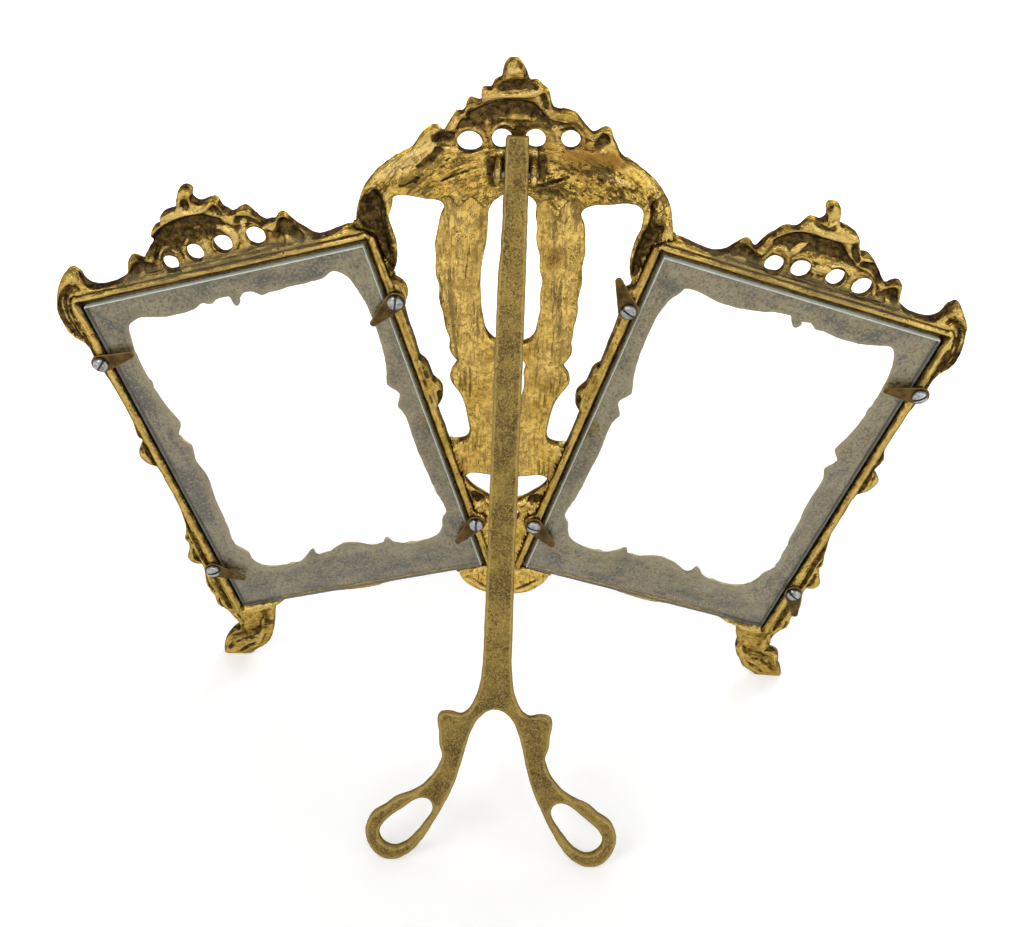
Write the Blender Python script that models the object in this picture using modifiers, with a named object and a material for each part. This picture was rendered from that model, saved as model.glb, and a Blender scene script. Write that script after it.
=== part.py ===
"""Cast brass photograph frame: two glazed oblong frames leaning outwards on a pierced
centre panel, held up by a folding easel strut. Metres, +Z up, the front faces -Y.

The castings are drawn in the plane of the panel as it is seen from the back:
x to the viewer's right, y up the panel, z out of the back. Zero is the back of the glass.
"""

from math import cos, pi, radians, sin

import bmesh
import bpy
from mathutils import Matrix, Vector

MM = 0.001

# Panes
GLASS_WIDTH = 87.5
GLASS_HEIGHT = 127.0
GLASS_THICKNESS = 2.0
GLASS_CHAMFER = 0.4

# How the panel is laid out and how it stands
FRAME_TILT = 16.07
CORNER_OUT = 3.17
CORNER_DOWN = 51.16
FOOT_DROP = 21.7
LEAN = 15.3
STRUT_OPEN = 30.0
FLAT_DEPTH = 0.6
GROUND_SPAN = 800.0
GROUND_DEPTH = 60.0

# Castings
CLEARANCE = 0.3
LIP_THICKNESS = 2.2
REBATE_GAP = 1.7
RIM_WIDTH = 2.3
RIM_HEIGHT = 0.4
BOTTOM_LEDGE = 3.5
CORNER_CUT = 1.8
EDGE_CHAMFER = 0.5
FLOOR_THICKNESS = 1.9
MOULDING_RADIUS = 2.4
MOULDING_SINK = 0.6
MOULDING_TURN = 5.0
PANEL_BACK = -1.2
PANEL_THICKNESS = 3.9
CREST_WIDTH_SHARE = 0.572
CENTRE_CREST_UP = 102.5
FINIAL_STRETCH = 1.5
CREST_HOLE_RADIUS = 2.9
HOLE_RING = 1.0
RING_HEIGHT = 1.2

# Easel hinge and strut
PIN_HEIGHT = 99.25
PIN_STANDOFF = 4.2
PIN_RADIUS = 0.9
EAR_RADIUS = 3.2
EAR_THICKNESS = 2.0
EAR_GAP = 7.8
STRUT_THICKNESS = 3.0
STRUT_SINK = 0.3
STRUT_CHAMFER = 0.4
TAIL_HALF_WIDTH = 2.7
KNUCKLE_RADIUS = 2.5

# Turn clips and their screws
CLIP_LENGTH = 11.5
CLIP_THICKNESS = 0.8
CLIP_END_RADIUS = 3.1
CLIP_TIP_RADIUS = 1.1
SCREW_UP_SHARE = 0.7
SCREW_INSET = 0.25
SCREW_RADIUS = 0.9
SCREW_LENGTH = 4.2
HEAD_RADIUS = 2.35
HEAD_HEIGHT = 1.7
HEAD_CROWN = 0.8
SLOT_WIDTH = 0.6
SLOT_DEPTH = 0.7

ROUND_STEPS = 16
OUTLINE_STEPS = 2

# How far a cutter runs on past the face that it opens
PAST_FACE = 6.0

# Levels in the depth of the panel, worked out from the sizes above
LIP_BACK = -(GLASS_THICKNESS + CLEARANCE)
FRAME_FRONT = LIP_BACK - LIP_THICKNESS
FLOOR_BACK = FRAME_FRONT + FLOOR_THICKNESS
PANEL_FRONT = PANEL_BACK - PANEL_THICKNESS
CLIP_BACK = RIM_HEIGHT + CLEARANCE + CLIP_THICKNESS
HEAD_SEAT = CLIP_BACK + CLEARANCE
HALF_WIDTH = GLASS_WIDTH / 2
HALF_HEIGHT = GLASS_HEIGHT / 2
RIM_OUT = HALF_WIDTH + REBATE_GAP + RIM_WIDTH
RIM_UP = HALF_HEIGHT + REBATE_GAP + RIM_WIDTH
LEDGE_DOWN = HALF_HEIGHT + BOTTOM_LEDGE
SCREW_OUT = RIM_OUT - SCREW_INSET
SCREW_UP = HALF_HEIGHT * SCREW_UP_SHARE
SHAFT_HOLE = PIN_RADIUS + CLEARANCE
SCREW_HOLE = SCREW_RADIUS + CLEARANCE

# Names of the two frames as the front shows them, and their side of the back view
SIDES = {"left": 1, "right": -1}

# The direction each clip points, in degrees from straight in over the glass, up being positive
CLIP_TURNS = {
    ("left", "upper", "outer"): -8,
    ("left", "upper", "inner"): 126,
    ("left", "lower", "outer"): -118,
    ("left", "lower", "inner"): -36,
    ("right", "upper", "outer"): 5,
    ("right", "upper", "inner"): -33,
    ("right", "lower", "outer"): -34,
    ("right", "lower", "inner"): -38,
}


def new_collection(name):
    made = bpy.data.collections.new(name)
    bpy.context.scene.collection.children.link(made)
    return made


def metal(name, colour, roughness, metallic=1.0):
    made = bpy.data.materials.new(name)
    made.use_nodes = True
    shader = made.node_tree.nodes["Principled BSDF"]
    shader.inputs["Base Color"].default_value = (*colour, 1.0)
    shader.inputs["Roughness"].default_value = roughness
    shader.inputs["Metallic"].default_value = metallic
    made.diffuse_color = (*colour, 1.0)
    return made


def clear_glass(name):
    made = metal(name, (0.82, 0.88, 0.85), 0.05, 0.0)
    made.node_tree.nodes["Principled BSDF"].inputs["Transmission Weight"].default_value = 1.0
    made.diffuse_color = (0.82, 0.88, 0.85, 0.35)
    return made


def place(thing, parent=None, at=(0.0, 0.0, 0.0), turn=(0.0, 0.0, 0.0)):
    """Puts a piece at a place in millimetres and a turn in degrees, under its parent."""
    thing.parent = parent
    thing.location = Vector(at) * MM
    thing.rotation_euler = [radians(angle) for angle in turn]
    return thing


def empty(name, parent=None, at=(0.0, 0.0, 0.0), turn=(0.0, 0.0, 0.0)):
    made = bpy.data.objects.new(name, None)
    made.empty_display_size = 0.02
    parts.objects.link(made)
    return place(made, parent, at, turn)


def mesh_object(name, mesh, material=None):
    made = bpy.data.objects.new(name, mesh)
    if material:
        mesh.materials.append(material)
    parts.objects.link(made)
    return made


def as_cutter(thing):
    """Moves an object among the cutters, where it is drawn as wire and left out of the part."""
    parts.objects.unlink(thing)
    cutters.objects.link(thing)
    thing.hide_render = True
    thing.display_type = "WIRE"
    return thing


def combine(target, tool, operation):
    step = target.modifiers.new(tool.name, "BOOLEAN")
    step.object = as_cutter(tool)
    step.operation = operation
    step.solver = "EXACT"


def cut(target, *tools):
    for tool in tools:
        combine(target, tool, "DIFFERENCE")


def join(target, *tools):
    for tool in tools:
        combine(target, tool, "UNION")


def smooth(thing, angle=35.0):
    thing.data.shade_smooth()
    thing.data.set_sharp_from_angle(angle=radians(angle))
    return thing


def mirrored(half):
    """A closed outline from its right half, which runs from the top to the bottom."""
    left = [(-point[0], *point[1:]) for point in reversed(half) if abs(point[0]) > 0.01]
    return half + left


def circle(x, y, radius, count=16):
    turns = [2 * pi * step / count for step in range(count)]
    return [(x + radius * cos(turn), y + radius * sin(turn), "corner") for turn in turns]


def add_loop(curve, points, steps):
    """A closed smooth line through the points; a point marked as a corner stays sharp."""
    line = curve.splines.new("BEZIER")
    line.bezier_points.add(len(points) - 1)
    line.use_cyclic_u = True
    line.resolution_u = steps
    for knot, point in zip(line.bezier_points, points):
        knot.co = (point[0] * MM, point[1] * MM, 0.0)
        kind = "VECTOR" if len(point) > 2 else "AUTO"
        knot.handle_left_type = kind
        knot.handle_right_type = kind


def curve_to_mesh(curve, name):
    """The closed mesh of a filled curve, with its caps joined on."""
    holder = bpy.data.objects.new(name, curve)
    parts.objects.link(holder)
    graph = bpy.context.evaluated_depsgraph_get()
    mesh = bpy.data.meshes.new_from_object(holder.evaluated_get(graph))
    bpy.data.objects.remove(holder)
    bpy.data.curves.remove(curve)
    shape = bmesh.new()
    shape.from_mesh(mesh)
    bmesh.ops.remove_doubles(shape, verts=shape.verts, dist=0.00001)
    bmesh.ops.dissolve_limit(
        shape, angle_limit=radians(0.2), verts=shape.verts, edges=shape.edges,
    )
    bmesh.ops.recalc_face_normals(shape, faces=shape.faces)
    shape.to_mesh(mesh)
    shape.free()
    mesh.name = name
    return mesh


def slab(name, loops, front, back, chamfer=0.0, grow=0.0, steps=OUTLINE_STEPS, material=None):
    """A flat piece between two depths, with holes where a loop lies inside another."""
    curve = bpy.data.curves.new(name, "CURVE")
    curve.dimensions = "2D"
    curve.fill_mode = "BOTH"
    curve.extrude = ((back - front) / 2 - chamfer) * MM
    curve.bevel_depth = chamfer * MM
    curve.bevel_resolution = 0
    curve.offset = (grow - chamfer) * MM
    for points in loops:
        add_loop(curve, points, steps)
    mesh = curve_to_mesh(curve, name)
    mesh.transform(Matrix.Translation((0.0, 0.0, (front + back) / 2 * MM)))
    return mesh_object(name, mesh, material)


def box(name, low, high, material=None):
    """A box between two corners in millimetres."""
    shape = bmesh.new()
    bmesh.ops.create_cube(shape, size=1.0)
    size = Vector(high) - Vector(low)
    bmesh.ops.scale(shape, vec=size * MM, verts=shape.verts)
    bmesh.ops.translate(shape, vec=(Vector(low) + size / 2) * MM, verts=shape.verts)
    mesh = bpy.data.meshes.new(name)
    shape.to_mesh(mesh)
    shape.free()
    return mesh_object(name, mesh, material)


def rod(name, radius, start, end, steps=ROUND_STEPS, material=None):
    """A round bar between two points in millimetres."""
    start = Vector(start)
    along = Vector(end) - start
    shape = bmesh.new()
    bmesh.ops.create_cone(
        shape, cap_ends=True, segments=steps, radius1=radius * MM, radius2=radius * MM,
        depth=along.length * MM,
    )
    mesh = bpy.data.meshes.new(name)
    shape.to_mesh(mesh)
    shape.free()
    turn = Vector((0.0, 0.0, 1.0)).rotation_difference(along).to_matrix().to_4x4()
    mesh.transform(Matrix.Translation((start + along / 2) * MM) @ turn)
    return mesh_object(name, mesh, material)


def turned(name, profile, material=None):
    """A turned piece about z from its profile, which runs down its outer side."""
    mesh = bpy.data.meshes.new(name)
    shape = bmesh.new()
    points = [shape.verts.new((radius * MM, 0.0, height * MM)) for radius, height in profile]
    for upper, lower in zip(points, points[1:]):
        shape.edges.new((upper, lower))
    shape.to_mesh(mesh)
    shape.free()
    made = mesh_object(name, mesh, material)
    spin = made.modifiers.new("turn", "SCREW")
    spin.steps = ROUND_STEPS
    spin.render_steps = ROUND_STEPS
    spin.use_merge_vertices = True
    spin.merge_threshold = 0.00001
    return made


# The crest is the same casting pattern on both frames and on the centre panel. It isn't
# symmetrical: stepped scallops climb to the finial on one side, broad bumps fall on the other.
# Its points are measured from the middle of the edge that it grows from.
CREST = [
    (-27.2, 2.9), (-25.0, 5.5), (-22.7, 6.5), (-20.6, 4.8, "corner"), (-19.0, 7.5),
    (-17.2, 9.5), (-15.5, 10.2, "corner"), (-14.4, 12.5), (-12.4, 13.9),
    (-10.5, 14.3, "corner"), (-9.1, 16.7), (-7.0, 17.8), (-5.0, 18.1, "corner"),
    (-4.2, 20.7), (-3.4, 23.3), (-2.1, 24.4), (-0.6, 23.5), (0.7, 20.7),
    (1.8, 18.5, "corner"), (4.0, 18.7), (6.0, 17.5), (7.2, 15.3), (8.4, 13.1, "corner"),
    (10.6, 13.1), (13.0, 13.4), (15.6, 11.9), (18.0, 8.9), (20.8, 6.3, "corner"),
    (22.4, 7.7), (24.1, 8.0), (25.7, 5.7), (27.4, 3.1),
]
FINIAL = range(13, 18)
CREST_HOLES = [(-13.0, 3.4), (-4.8, 4.4), (5.2, 4.9), (14.4, 4.7)]
CREST_HOLLOW = [
    (-21.5, 1.8, "corner"), (-21.0, 3.5), (-17.4, 5.1), (-15.8, 8.1), (-11.8, 11.1),
    (-7.0, 13.1), (-1.0, 14.3), (4.4, 13.3), (9.0, 10.1), (15.0, 9.3), (19.4, 4.7),
    (22.0, 3.7), (22.6, 1.8, "corner"),
]

# The rest of a frame's outline, drawn for the outer side being right. The horn is measured
# from the rim's upper outer corner and the foot from its lower outer corner. Down the sides
# the heights are shares of half the pane's height, and the rest is how far out of the rim.
HORN = [
    (-17.1, 1.4), (-13.5, 0.7), (-9.8, 0.9), (-7.1, 2.5), (-6.5, 5.1), (-5.5, 7.1),
    (-2.8, 5.9), (0.5, 3.1), (3.5, -0.7), (5.4, -4.7), (5.8, -8.5), (5.0, -12.5),
    (3.2, -15.9),
]
OUTER_SIDE = [
    (2.0, 0.765), (2.1, 0.701), (1.4, 0.639), (1.0, 0.472), (0.9, 0.331), (1.8, 0.246),
    (1.5, 0.192, "corner"), (3.4, 0.161), (4.1, 0.104), (3.2, 0.054), (1.2, 0.031),
    (0.9, -0.079), (0.8, -0.22), (1.5, -0.323), (2.5, -0.402), (4.2, -0.463),
    (4.0, -0.51, "corner"), (5.9, -0.564), (7.8, -0.619, "corner"), (6.2, -0.652),
    (3.6, -0.663, "corner"), (4.1, -0.718), (5.8, -0.791), (5.9, -0.857),
    (5.2, -0.909, "corner"), (5.8, -0.97), (4.0, -1.02), (2.2, -1.076),
]
FOOT = [
    (1.6, -4.8), (2.5, -8.2, "corner"), (5.9, -9.8), (8.9, -11.6), (11.5, -14.6),
    (12.9, -18.0), (13.1, -21.0), (10.9, -22.8), (6.6, -23.0), (2.6, -21.8), (-1.5, -19.8),
    (-5.8, -16.4), (-8.8, -12.0), (-11.1, -7.0), (-13.0, -2.6), (-14.5, 0.0, "corner"),
]
BOTTOM_SWELL = [(9.0, -0.2, "corner"), (5.0, -0.8), (0.0, -1.1), (-5.0, -0.8), (-9.0, -0.2, "corner")]
INNER_SIDE = [
    (0.0, 0.055, "corner"), (-1.9, 0.082), (-3.5, 0.126), (-3.5, 0.173),
    (-1.9, 0.211, "corner"), (-1.9, 0.274), (-1.5, 0.32), (-0.2, 0.343, "corner"),
    (-0.6, 0.472),
]
UPPER_BOSS = [
    (-0.7, -6.5), (-1.5, -2.5), (-3.2, -0.3), (-3.5, 2.5), (-2.1, 5.1), (0.0, 6.9, "corner"),
]
LOWER_BOSS = [
    (0.0, -3.8, "corner"), (-2.2, -1.9), (-2.9, 0.0), (-2.2, 1.9), (0.0, 3.8, "corner"),
]
INNER_SHOULDER = [(0.0, -2.2, "corner"), (5.8, 2.3), (9.8, 1.9), (13.8, 1.4), (17.4, 1.4)]

# Half of a frame's opening, which is the same on both sides, in shares of half the pane
APERTURE = [
    (0.0, 0.819), (0.041, 0.847), (0.073, 0.882, "corner"), (0.137, 0.879), (0.201, 0.866),
    (0.304, 0.85), (0.418, 0.843), (0.537, 0.847), (0.658, 0.865), (0.745, 0.88),
    (0.8, 0.844), (0.837, 0.772), (0.862, 0.669), (0.866, 0.567), (0.857, 0.449),
    (0.837, 0.339), (0.791, 0.227, "corner"), (0.832, 0.195), (0.857, 0.161),
    (0.832, 0.12), (0.805, 0.088, "corner"), (0.837, 0.035), (0.834, -0.079),
    (0.832, -0.205), (0.841, -0.346), (0.85, -0.488), (0.875, -0.592), (0.864, -0.639),
    (0.818, -0.671), (0.798, -0.721), (0.745, -0.778), (0.677, -0.806), (0.567, -0.825),
    (0.446, -0.817), (0.368, -0.797, "corner"), (0.331, -0.759), (0.286, -0.781),
    (0.219, -0.791, "corner"), (0.114, -0.765), (0.0, -0.754),
]

# Half of the centre panel. Its arms, its waist and its base run in under the two frames,
# whose own outlines then cut it back.
PANEL_SHOULDER = [
    (28.8, 102.6), (31.8, 100.8), (35.9, 98.0), (40.0, 94.0), (42.7, 90.0), (44.2, 86.0),
    (45.0, 82.0), (45.6, 78.0, "corner"), (40.0, 62.4, "corner"), (35.6, 62.2),
    (34.6, 64.2), (33.9, 67.0), (33.7, 71.0), (34.5, 75.5), (36.0, 80.0), (36.4, 84.0),
    (35.6, 87.2), (33.2, 88.4), (29.0, 88.2), (25.0, 87.7), (21.6, 87.5), (19.8, 86.0),
]
LYRE_BAR = [
    (19.7, 84.0), (20.5, 81.0), (21.2, 77.0), (21.5, 71.0), (21.4, 65.0), (20.9, 59.0),
    (20.0, 51.0), (19.1, 44.5), (18.4, 40.8), (18.9, 38.0), (17.4, 35.0),
    (16.0, 33.2, "corner"), (17.6, 30.6), (18.7, 28.0), (18.0, 25.2), (15.8, 22.0),
    (14.2, 18.0), (13.2, 13.5), (12.6, 9.5), (12.4, 6.0), (13.5, 3.2), (16.3, 2.3),
    (23.0, 2.6, "corner"),
]
PENDANT = [
    (16.5, -53.2, "corner"), (15.3, -57.0), (12.4, -60.8), (8.6, -63.4), (4.2, -64.6),
    (0.0, -65.0),
]
LYRE_EYE = [
    (0.0, 90.8), (4.5, 89.3), (7.2, 85.6), (7.6, 81.0), (7.7, 76.0), (8.7, 70.0),
    (9.4, 63.0), (9.2, 55.0), (8.4, 48.0), (6.6, 42.6), (3.4, 40.6), (0.0, 40.2),
]
LYRE_DROP = [
    (0.0, 36.2), (3.2, 35.2), (4.8, 32.4), (4.1, 29.8, "corner"), (4.6, 26.4),
    (4.0, 21.0), (2.2, 17.0), (0.0, 15.6),
]
HALF_MOON = [
    (0.0, -11.6), (6.5, -10.8), (12.0, -10.5), (13.5, -12.4), (12.2, -15.4), (8.6, -18.8),
    (4.6, -21.4), (0.0, -22.2),
]
LOWER_EYE = [(0.0, -24.4), (3.4, -25.2), (4.7, -27.4), (3.4, -29.6), (0.0, -30.4)]
ARM_CHANNEL = [
    (38.6, 90.4), (41.0, 89.0), (42.3, 85.0), (42.4, 80.6), (40.0, 76.4), (38.4, 71.4),
    (36.6, 67.4), (35.6, 69.4), (36.3, 74.6), (38.0, 80.0), (38.4, 85.0),
]

# Half of the strut seen square on: across, and down from the pin. The fork is measured up
# from its own ends, so that it stays whole when the strut changes length.
SHAFT = [(3.5, -5.0), (3.55, 3.0), (3.7, 12.0), (3.9, 40.0), (3.95, 90.0)]
FORK = [
    (4.1, 67.0), (4.6, 55.5), (6.6, 48.3), (9.7, 45.0), (12.0, 45.6), (14.7, 45.7),
    (16.3, 44.8), (16.6, 42.4), (16.0, 39.2), (15.9, 35.4), (14.9, 33.0), (15.3, 30.8),
    (18.0, 25.6), (22.8, 21.4), (26.2, 20.0, "corner"), (28.4, 19.0), (31.0, 16.6),
    (34.2, 14.8), (36.2, 11.4), (36.6, 7.6), (34.8, 3.2), (32.0, 0.7), (29.2, 0.0),
    (26.0, 0.8), (21.8, 4.0), (17.7, 10.2), (14.6, 16.2), (11.0, 24.2), (8.2, 35.0),
    (5.7, 42.6), (3.8, 45.0), (1.8, 46.4), (0.0, 46.8),
]
FORK_EYE = [
    (17.2, 15.7), (18.0, 18.6), (20.0, 19.4), (22.4, 18.7), (25.6, 16.2), (29.2, 13.4),
    (32.4, 9.6), (32.2, 6.6), (29.6, 4.4), (26.8, 4.3), (22.6, 7.6), (19.0, 12.4),
]


def moved(points, across=0.0, up=0.0):
    return [(x + across, y + up, *kind) for x, y, *kind in points]


def spread(points, across=1.0, up=1.0):
    return [(x * across, y * up, *kind) for x, y, *kind in points]


def facing(points, side):
    """Turns points drawn for the outer side being right to the side of the frame."""
    return spread(points, side)


def frame_outline(side):
    """Once round a frame: over the crest, round the horn, down to the foot and back up."""
    body = moved(HORN, RIM_OUT, RIM_UP)
    body += moved(spread(OUTER_SIDE, up=HALF_HEIGHT), RIM_OUT)
    body += moved(FOOT, RIM_OUT, -LEDGE_DOWN)
    body += moved(BOTTOM_SWELL, up=-LEDGE_DOWN)
    body.append((CORNER_CUT - RIM_OUT, -LEDGE_DOWN, "corner"))
    body.append((-RIM_OUT, CORNER_CUT - LEDGE_DOWN, "corner"))
    body += moved(LOWER_BOSS, -RIM_OUT, -SCREW_UP)
    body += moved(spread(INNER_SIDE, up=HALF_HEIGHT), -RIM_OUT)
    body += moved(UPPER_BOSS, -RIM_OUT, SCREW_UP)
    body += moved(INNER_SHOULDER, -RIM_OUT, RIM_UP)
    crest = moved(spread(CREST, frame_crest_scale()), up=RIM_UP)
    if side < 0:
        crest.reverse()
    return crest + facing(body, side)


def frame_crest_scale():
    """A frame's crest keeps its share of the frame's width."""
    return 2 * RIM_OUT * CREST_WIDTH_SHARE / (CREST[-1][0] - CREST[0][0])


def frame_middle(side):
    """Where the middle of a tilted frame lies, worked out from its lower inner corner."""
    tilt = radians(FRAME_TILT)
    out = CORNER_OUT + RIM_OUT * cos(tilt) + LEDGE_DOWN * sin(tilt)
    up = -CORNER_DOWN - RIM_OUT * sin(tilt) + LEDGE_DOWN * cos(tilt)
    return (side * out, up, 0.0)


def panel_rise():
    """The height of the panel's middle. The ground lies under the frames' outer corners."""
    tilt = radians(FRAME_TILT)
    corner = RIM_OUT * sin(tilt) + LEDGE_DOWN * cos(tilt) - frame_middle(1)[1]
    return (corner + FOOT_DROP) * cos(radians(LEAN))


def screw_places(side):
    """Each screw of a frame by name, with its place in the frame."""
    places = {}
    for level, y in (("upper", SCREW_UP), ("lower", -SCREW_UP)):
        for edge, x in (("outer", SCREW_OUT), ("inner", -SCREW_OUT)):
            places[(level, edge)] = (side * x, y)
    return places


def crest_hollow(name, across, up, floor, open_to):
    """The cutter for the dished back of a crest."""
    return slab(name, [moved(spread(CREST_HOLLOW, across), up=up)], floor, open_to)


def pierce_crest(casting, name, across, up, front, floor):
    """Four round holes through a crest, each with a raised ring left round it on the back."""
    tools = []
    holes = moved(spread(CREST_HOLES, across), up=up)
    for index, (x, y) in enumerate(holes, 1):
        ring = rod(
            f"{name}_crest_ring_{index}", CREST_HOLE_RADIUS + HOLE_RING,
            (x, y, floor - FLOOR_THICKNESS / 2), (x, y, floor + RING_HEIGHT),
        )
        join(casting, ring)
        tools.append(ring)
    for index, (x, y) in enumerate(holes, 1):
        hole = rod(
            f"{name}_crest_hole_{index}", CREST_HOLE_RADIUS,
            (x, y, front - PAST_FACE), (x, y, RIM_HEIGHT + PAST_FACE),
        )
        cut(casting, hole)
        tools.append(hole)
    return tools


def rounded_rectangle(left, bottom, right, top, radius, steps=3):
    """Points round a rectangle whose corners are quarter circles."""
    centres = [
        (right - radius, top - radius), (left + radius, top - radius),
        (left + radius, bottom + radius), (right - radius, bottom + radius),
    ]
    points = []
    for quarter, (x, y) in enumerate(centres):
        for step in range(steps + 1):
            turn = (quarter + step / steps) * pi / 2
            points.append((x + radius * cos(turn), y + radius * sin(turn)))
    return points


def moulding(name):
    """The raised bead round the front of a frame: a round bar half sunk in its face."""
    curve = bpy.data.curves.new(name, "CURVE")
    curve.dimensions = "3D"
    curve.bevel_depth = MOULDING_RADIUS * MM
    curve.bevel_resolution = 2
    out = RIM_OUT - MOULDING_RADIUS - CLEARANCE
    path = rounded_rectangle(
        -out, -LEDGE_DOWN + MOULDING_RADIUS + CLEARANCE, out, RIM_UP - MOULDING_RADIUS,
        MOULDING_TURN,
    )
    line = curve.splines.new("POLY")
    line.points.add(len(path) - 1)
    line.use_cyclic_u = True
    for knot, (x, y) in zip(line.points, path):
        knot.co = (x * MM, y * MM, (FRAME_FRONT + MOULDING_SINK) * MM, 1.0)
    return mesh_object(name, curve_to_mesh(curve, name))


def make_frame(name, side):
    """One glazed frame: a flat casting with a rebate, a dished crest, a horn and a foot."""
    holder = empty(f"{name}_place", panel, frame_middle(side), (0, 0, -side * FRAME_TILT))
    casting = slab(
        f"{name}_frame", [frame_outline(side)], FRAME_FRONT, RIM_HEIGHT, chamfer=EDGE_CHAMFER,
        material=brass,
    )
    aperture = slab(
        f"{name}_aperture", [mirrored(spread(APERTURE, HALF_WIDTH, HALF_HEIGHT))],
        FRAME_FRONT - PAST_FACE, RIM_HEIGHT + PAST_FACE,
    )
    rebate = box(
        f"{name}_rebate",
        (-HALF_WIDTH - REBATE_GAP, -LEDGE_DOWN - PAST_FACE, LIP_BACK),
        (HALF_WIDTH + REBATE_GAP, HALF_HEIGHT + REBATE_GAP, RIM_HEIGHT + PAST_FACE),
    )
    across = frame_crest_scale()
    hollow = crest_hollow(f"{name}_crest_hollow", across, RIM_UP, FLOOR_BACK, RIM_HEIGHT + PAST_FACE)
    bead = moulding(f"{name}_bead")
    join(casting, bead)
    cut(casting, aperture, rebate, hollow)
    tools = [bead, aperture, rebate, hollow]
    tools += pierce_crest(casting, name, across, RIM_UP, FRAME_FRONT, FLOOR_BACK)
    for (level, edge), (x, y) in screw_places(side).items():
        tool = rod(
            f"{name}_{level}_{edge}_tapping", SCREW_HOLE,
            (x, y, HEAD_SEAT - SCREW_LENGTH - CLEARANCE), (x, y, RIM_HEIGHT + PAST_FACE), steps=12,
        )
        cut(casting, tool)
        tools.append(tool)
    for thing in [casting] + tools:
        place(thing, holder)
    cut(casting, ground_cutter(f"{name}_ground"))
    return smooth(casting), holder


def make_glass(name, holder):
    pane = box(
        f"{name}_glass",
        (-HALF_WIDTH, -HALF_HEIGHT, -GLASS_THICKNESS), (HALF_WIDTH, HALF_HEIGHT, 0.0),
        material=glass,
    )
    edge = pane.modifiers.new("ground_edges", "BEVEL")
    edge.width = GLASS_CHAMFER * MM
    edge.segments = 1
    return place(pane, holder)


def clip_outline():
    """A flat tongue: round at the screw, straight tapering sides, a small round tip."""
    reach = CLIP_LENGTH - CLIP_TIP_RADIUS
    lean = (CLIP_END_RADIUS - CLIP_TIP_RADIUS) / reach
    start = pi / 2 - lean
    back = [start + (2 * pi - 2 * start) * step / 8 for step in range(9)]
    tip = [-start + 2 * start * step / 4 for step in range(5)]
    outline = [(CLIP_END_RADIUS * cos(turn), CLIP_END_RADIUS * sin(turn)) for turn in back]
    outline += [(reach + CLIP_TIP_RADIUS * cos(turn), CLIP_TIP_RADIUS * sin(turn)) for turn in tip]
    return [(x, y, "corner") for x, y in outline]


def make_clip(name, holder, at, turn):
    """A turn clip on its screw: its origin is on the screw's axis, where it swivels."""
    pivot = empty(f"{name}_pivot", holder, (*at, 0.0), (0, 0, turn))
    hole = circle(0.0, 0.0, SCREW_HOLE, 12)
    clip = slab(
        name, [clip_outline(), hole], CLIP_BACK - CLIP_THICKNESS, CLIP_BACK, steps=1,
        material=dark_brass,
    )
    return place(clip, pivot)


def make_screw(name, holder, at, slot_turn):
    """A domed screw with a single slot, seated just over its clip."""
    top = HEAD_SEAT + HEAD_HEIGHT
    tip = HEAD_SEAT - SCREW_LENGTH
    profile = [(0.0, top)]
    for share in (0.5, 0.85, 1.0):
        profile.append((HEAD_RADIUS * share, top - HEAD_HEIGHT * HEAD_CROWN * share ** 2))
    profile += [
        (HEAD_RADIUS, HEAD_SEAT), (SCREW_RADIUS, HEAD_SEAT),
        (SCREW_RADIUS, tip + SCREW_RADIUS / 2), (0.0, tip),
    ]
    screw = turned(name, profile, steel)
    slot = box(
        f"{name}_slot",
        (-HEAD_RADIUS - 1, -SLOT_WIDTH / 2, top - SLOT_DEPTH), (HEAD_RADIUS + 1, SLOT_WIDTH / 2, top + 1),
    )
    cut(screw, slot)
    for thing in (screw, slot):
        place(thing, holder, (*at, 0.0), (0, 0, slot_turn))
    return smooth(screw)


def ground_cutter(name):
    """The space under the ground plane, which gives each foot a level face."""
    reach = GROUND_SPAN / 2
    tool = box(name, (-reach, -reach, -GROUND_DEPTH), (reach, reach, 0.0))
    return place(tool, origin)


def ear_outline():
    """A hinge ear seen from the side: up the panel, then out of its back."""
    root = PANEL_BACK - PANEL_THICKNESS / 2
    turns = [pi * step / 8 for step in range(9)]
    arc = [(PIN_HEIGHT + EAR_RADIUS * cos(turn), PIN_STANDOFF + EAR_RADIUS * sin(turn)) for turn in turns]
    outline = [(PIN_HEIGHT + EAR_RADIUS, root)] + arc + [(PIN_HEIGHT - EAR_RADIUS, root)]
    return [(y, z, "corner") for y, z in outline]


def make_ear(name, inner_x):
    """One hinge ear, cast on the centre panel and drilled for the pin."""
    ear = slab(name, [ear_outline()], 0.0, EAR_THICKNESS, steps=1)
    stand = Matrix(((0, 0, 1, inner_x * MM), (1, 0, 0, 0), (0, 1, 0, 0), (0, 0, 0, 1)))
    ear.data.transform(stand)
    return ear


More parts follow.
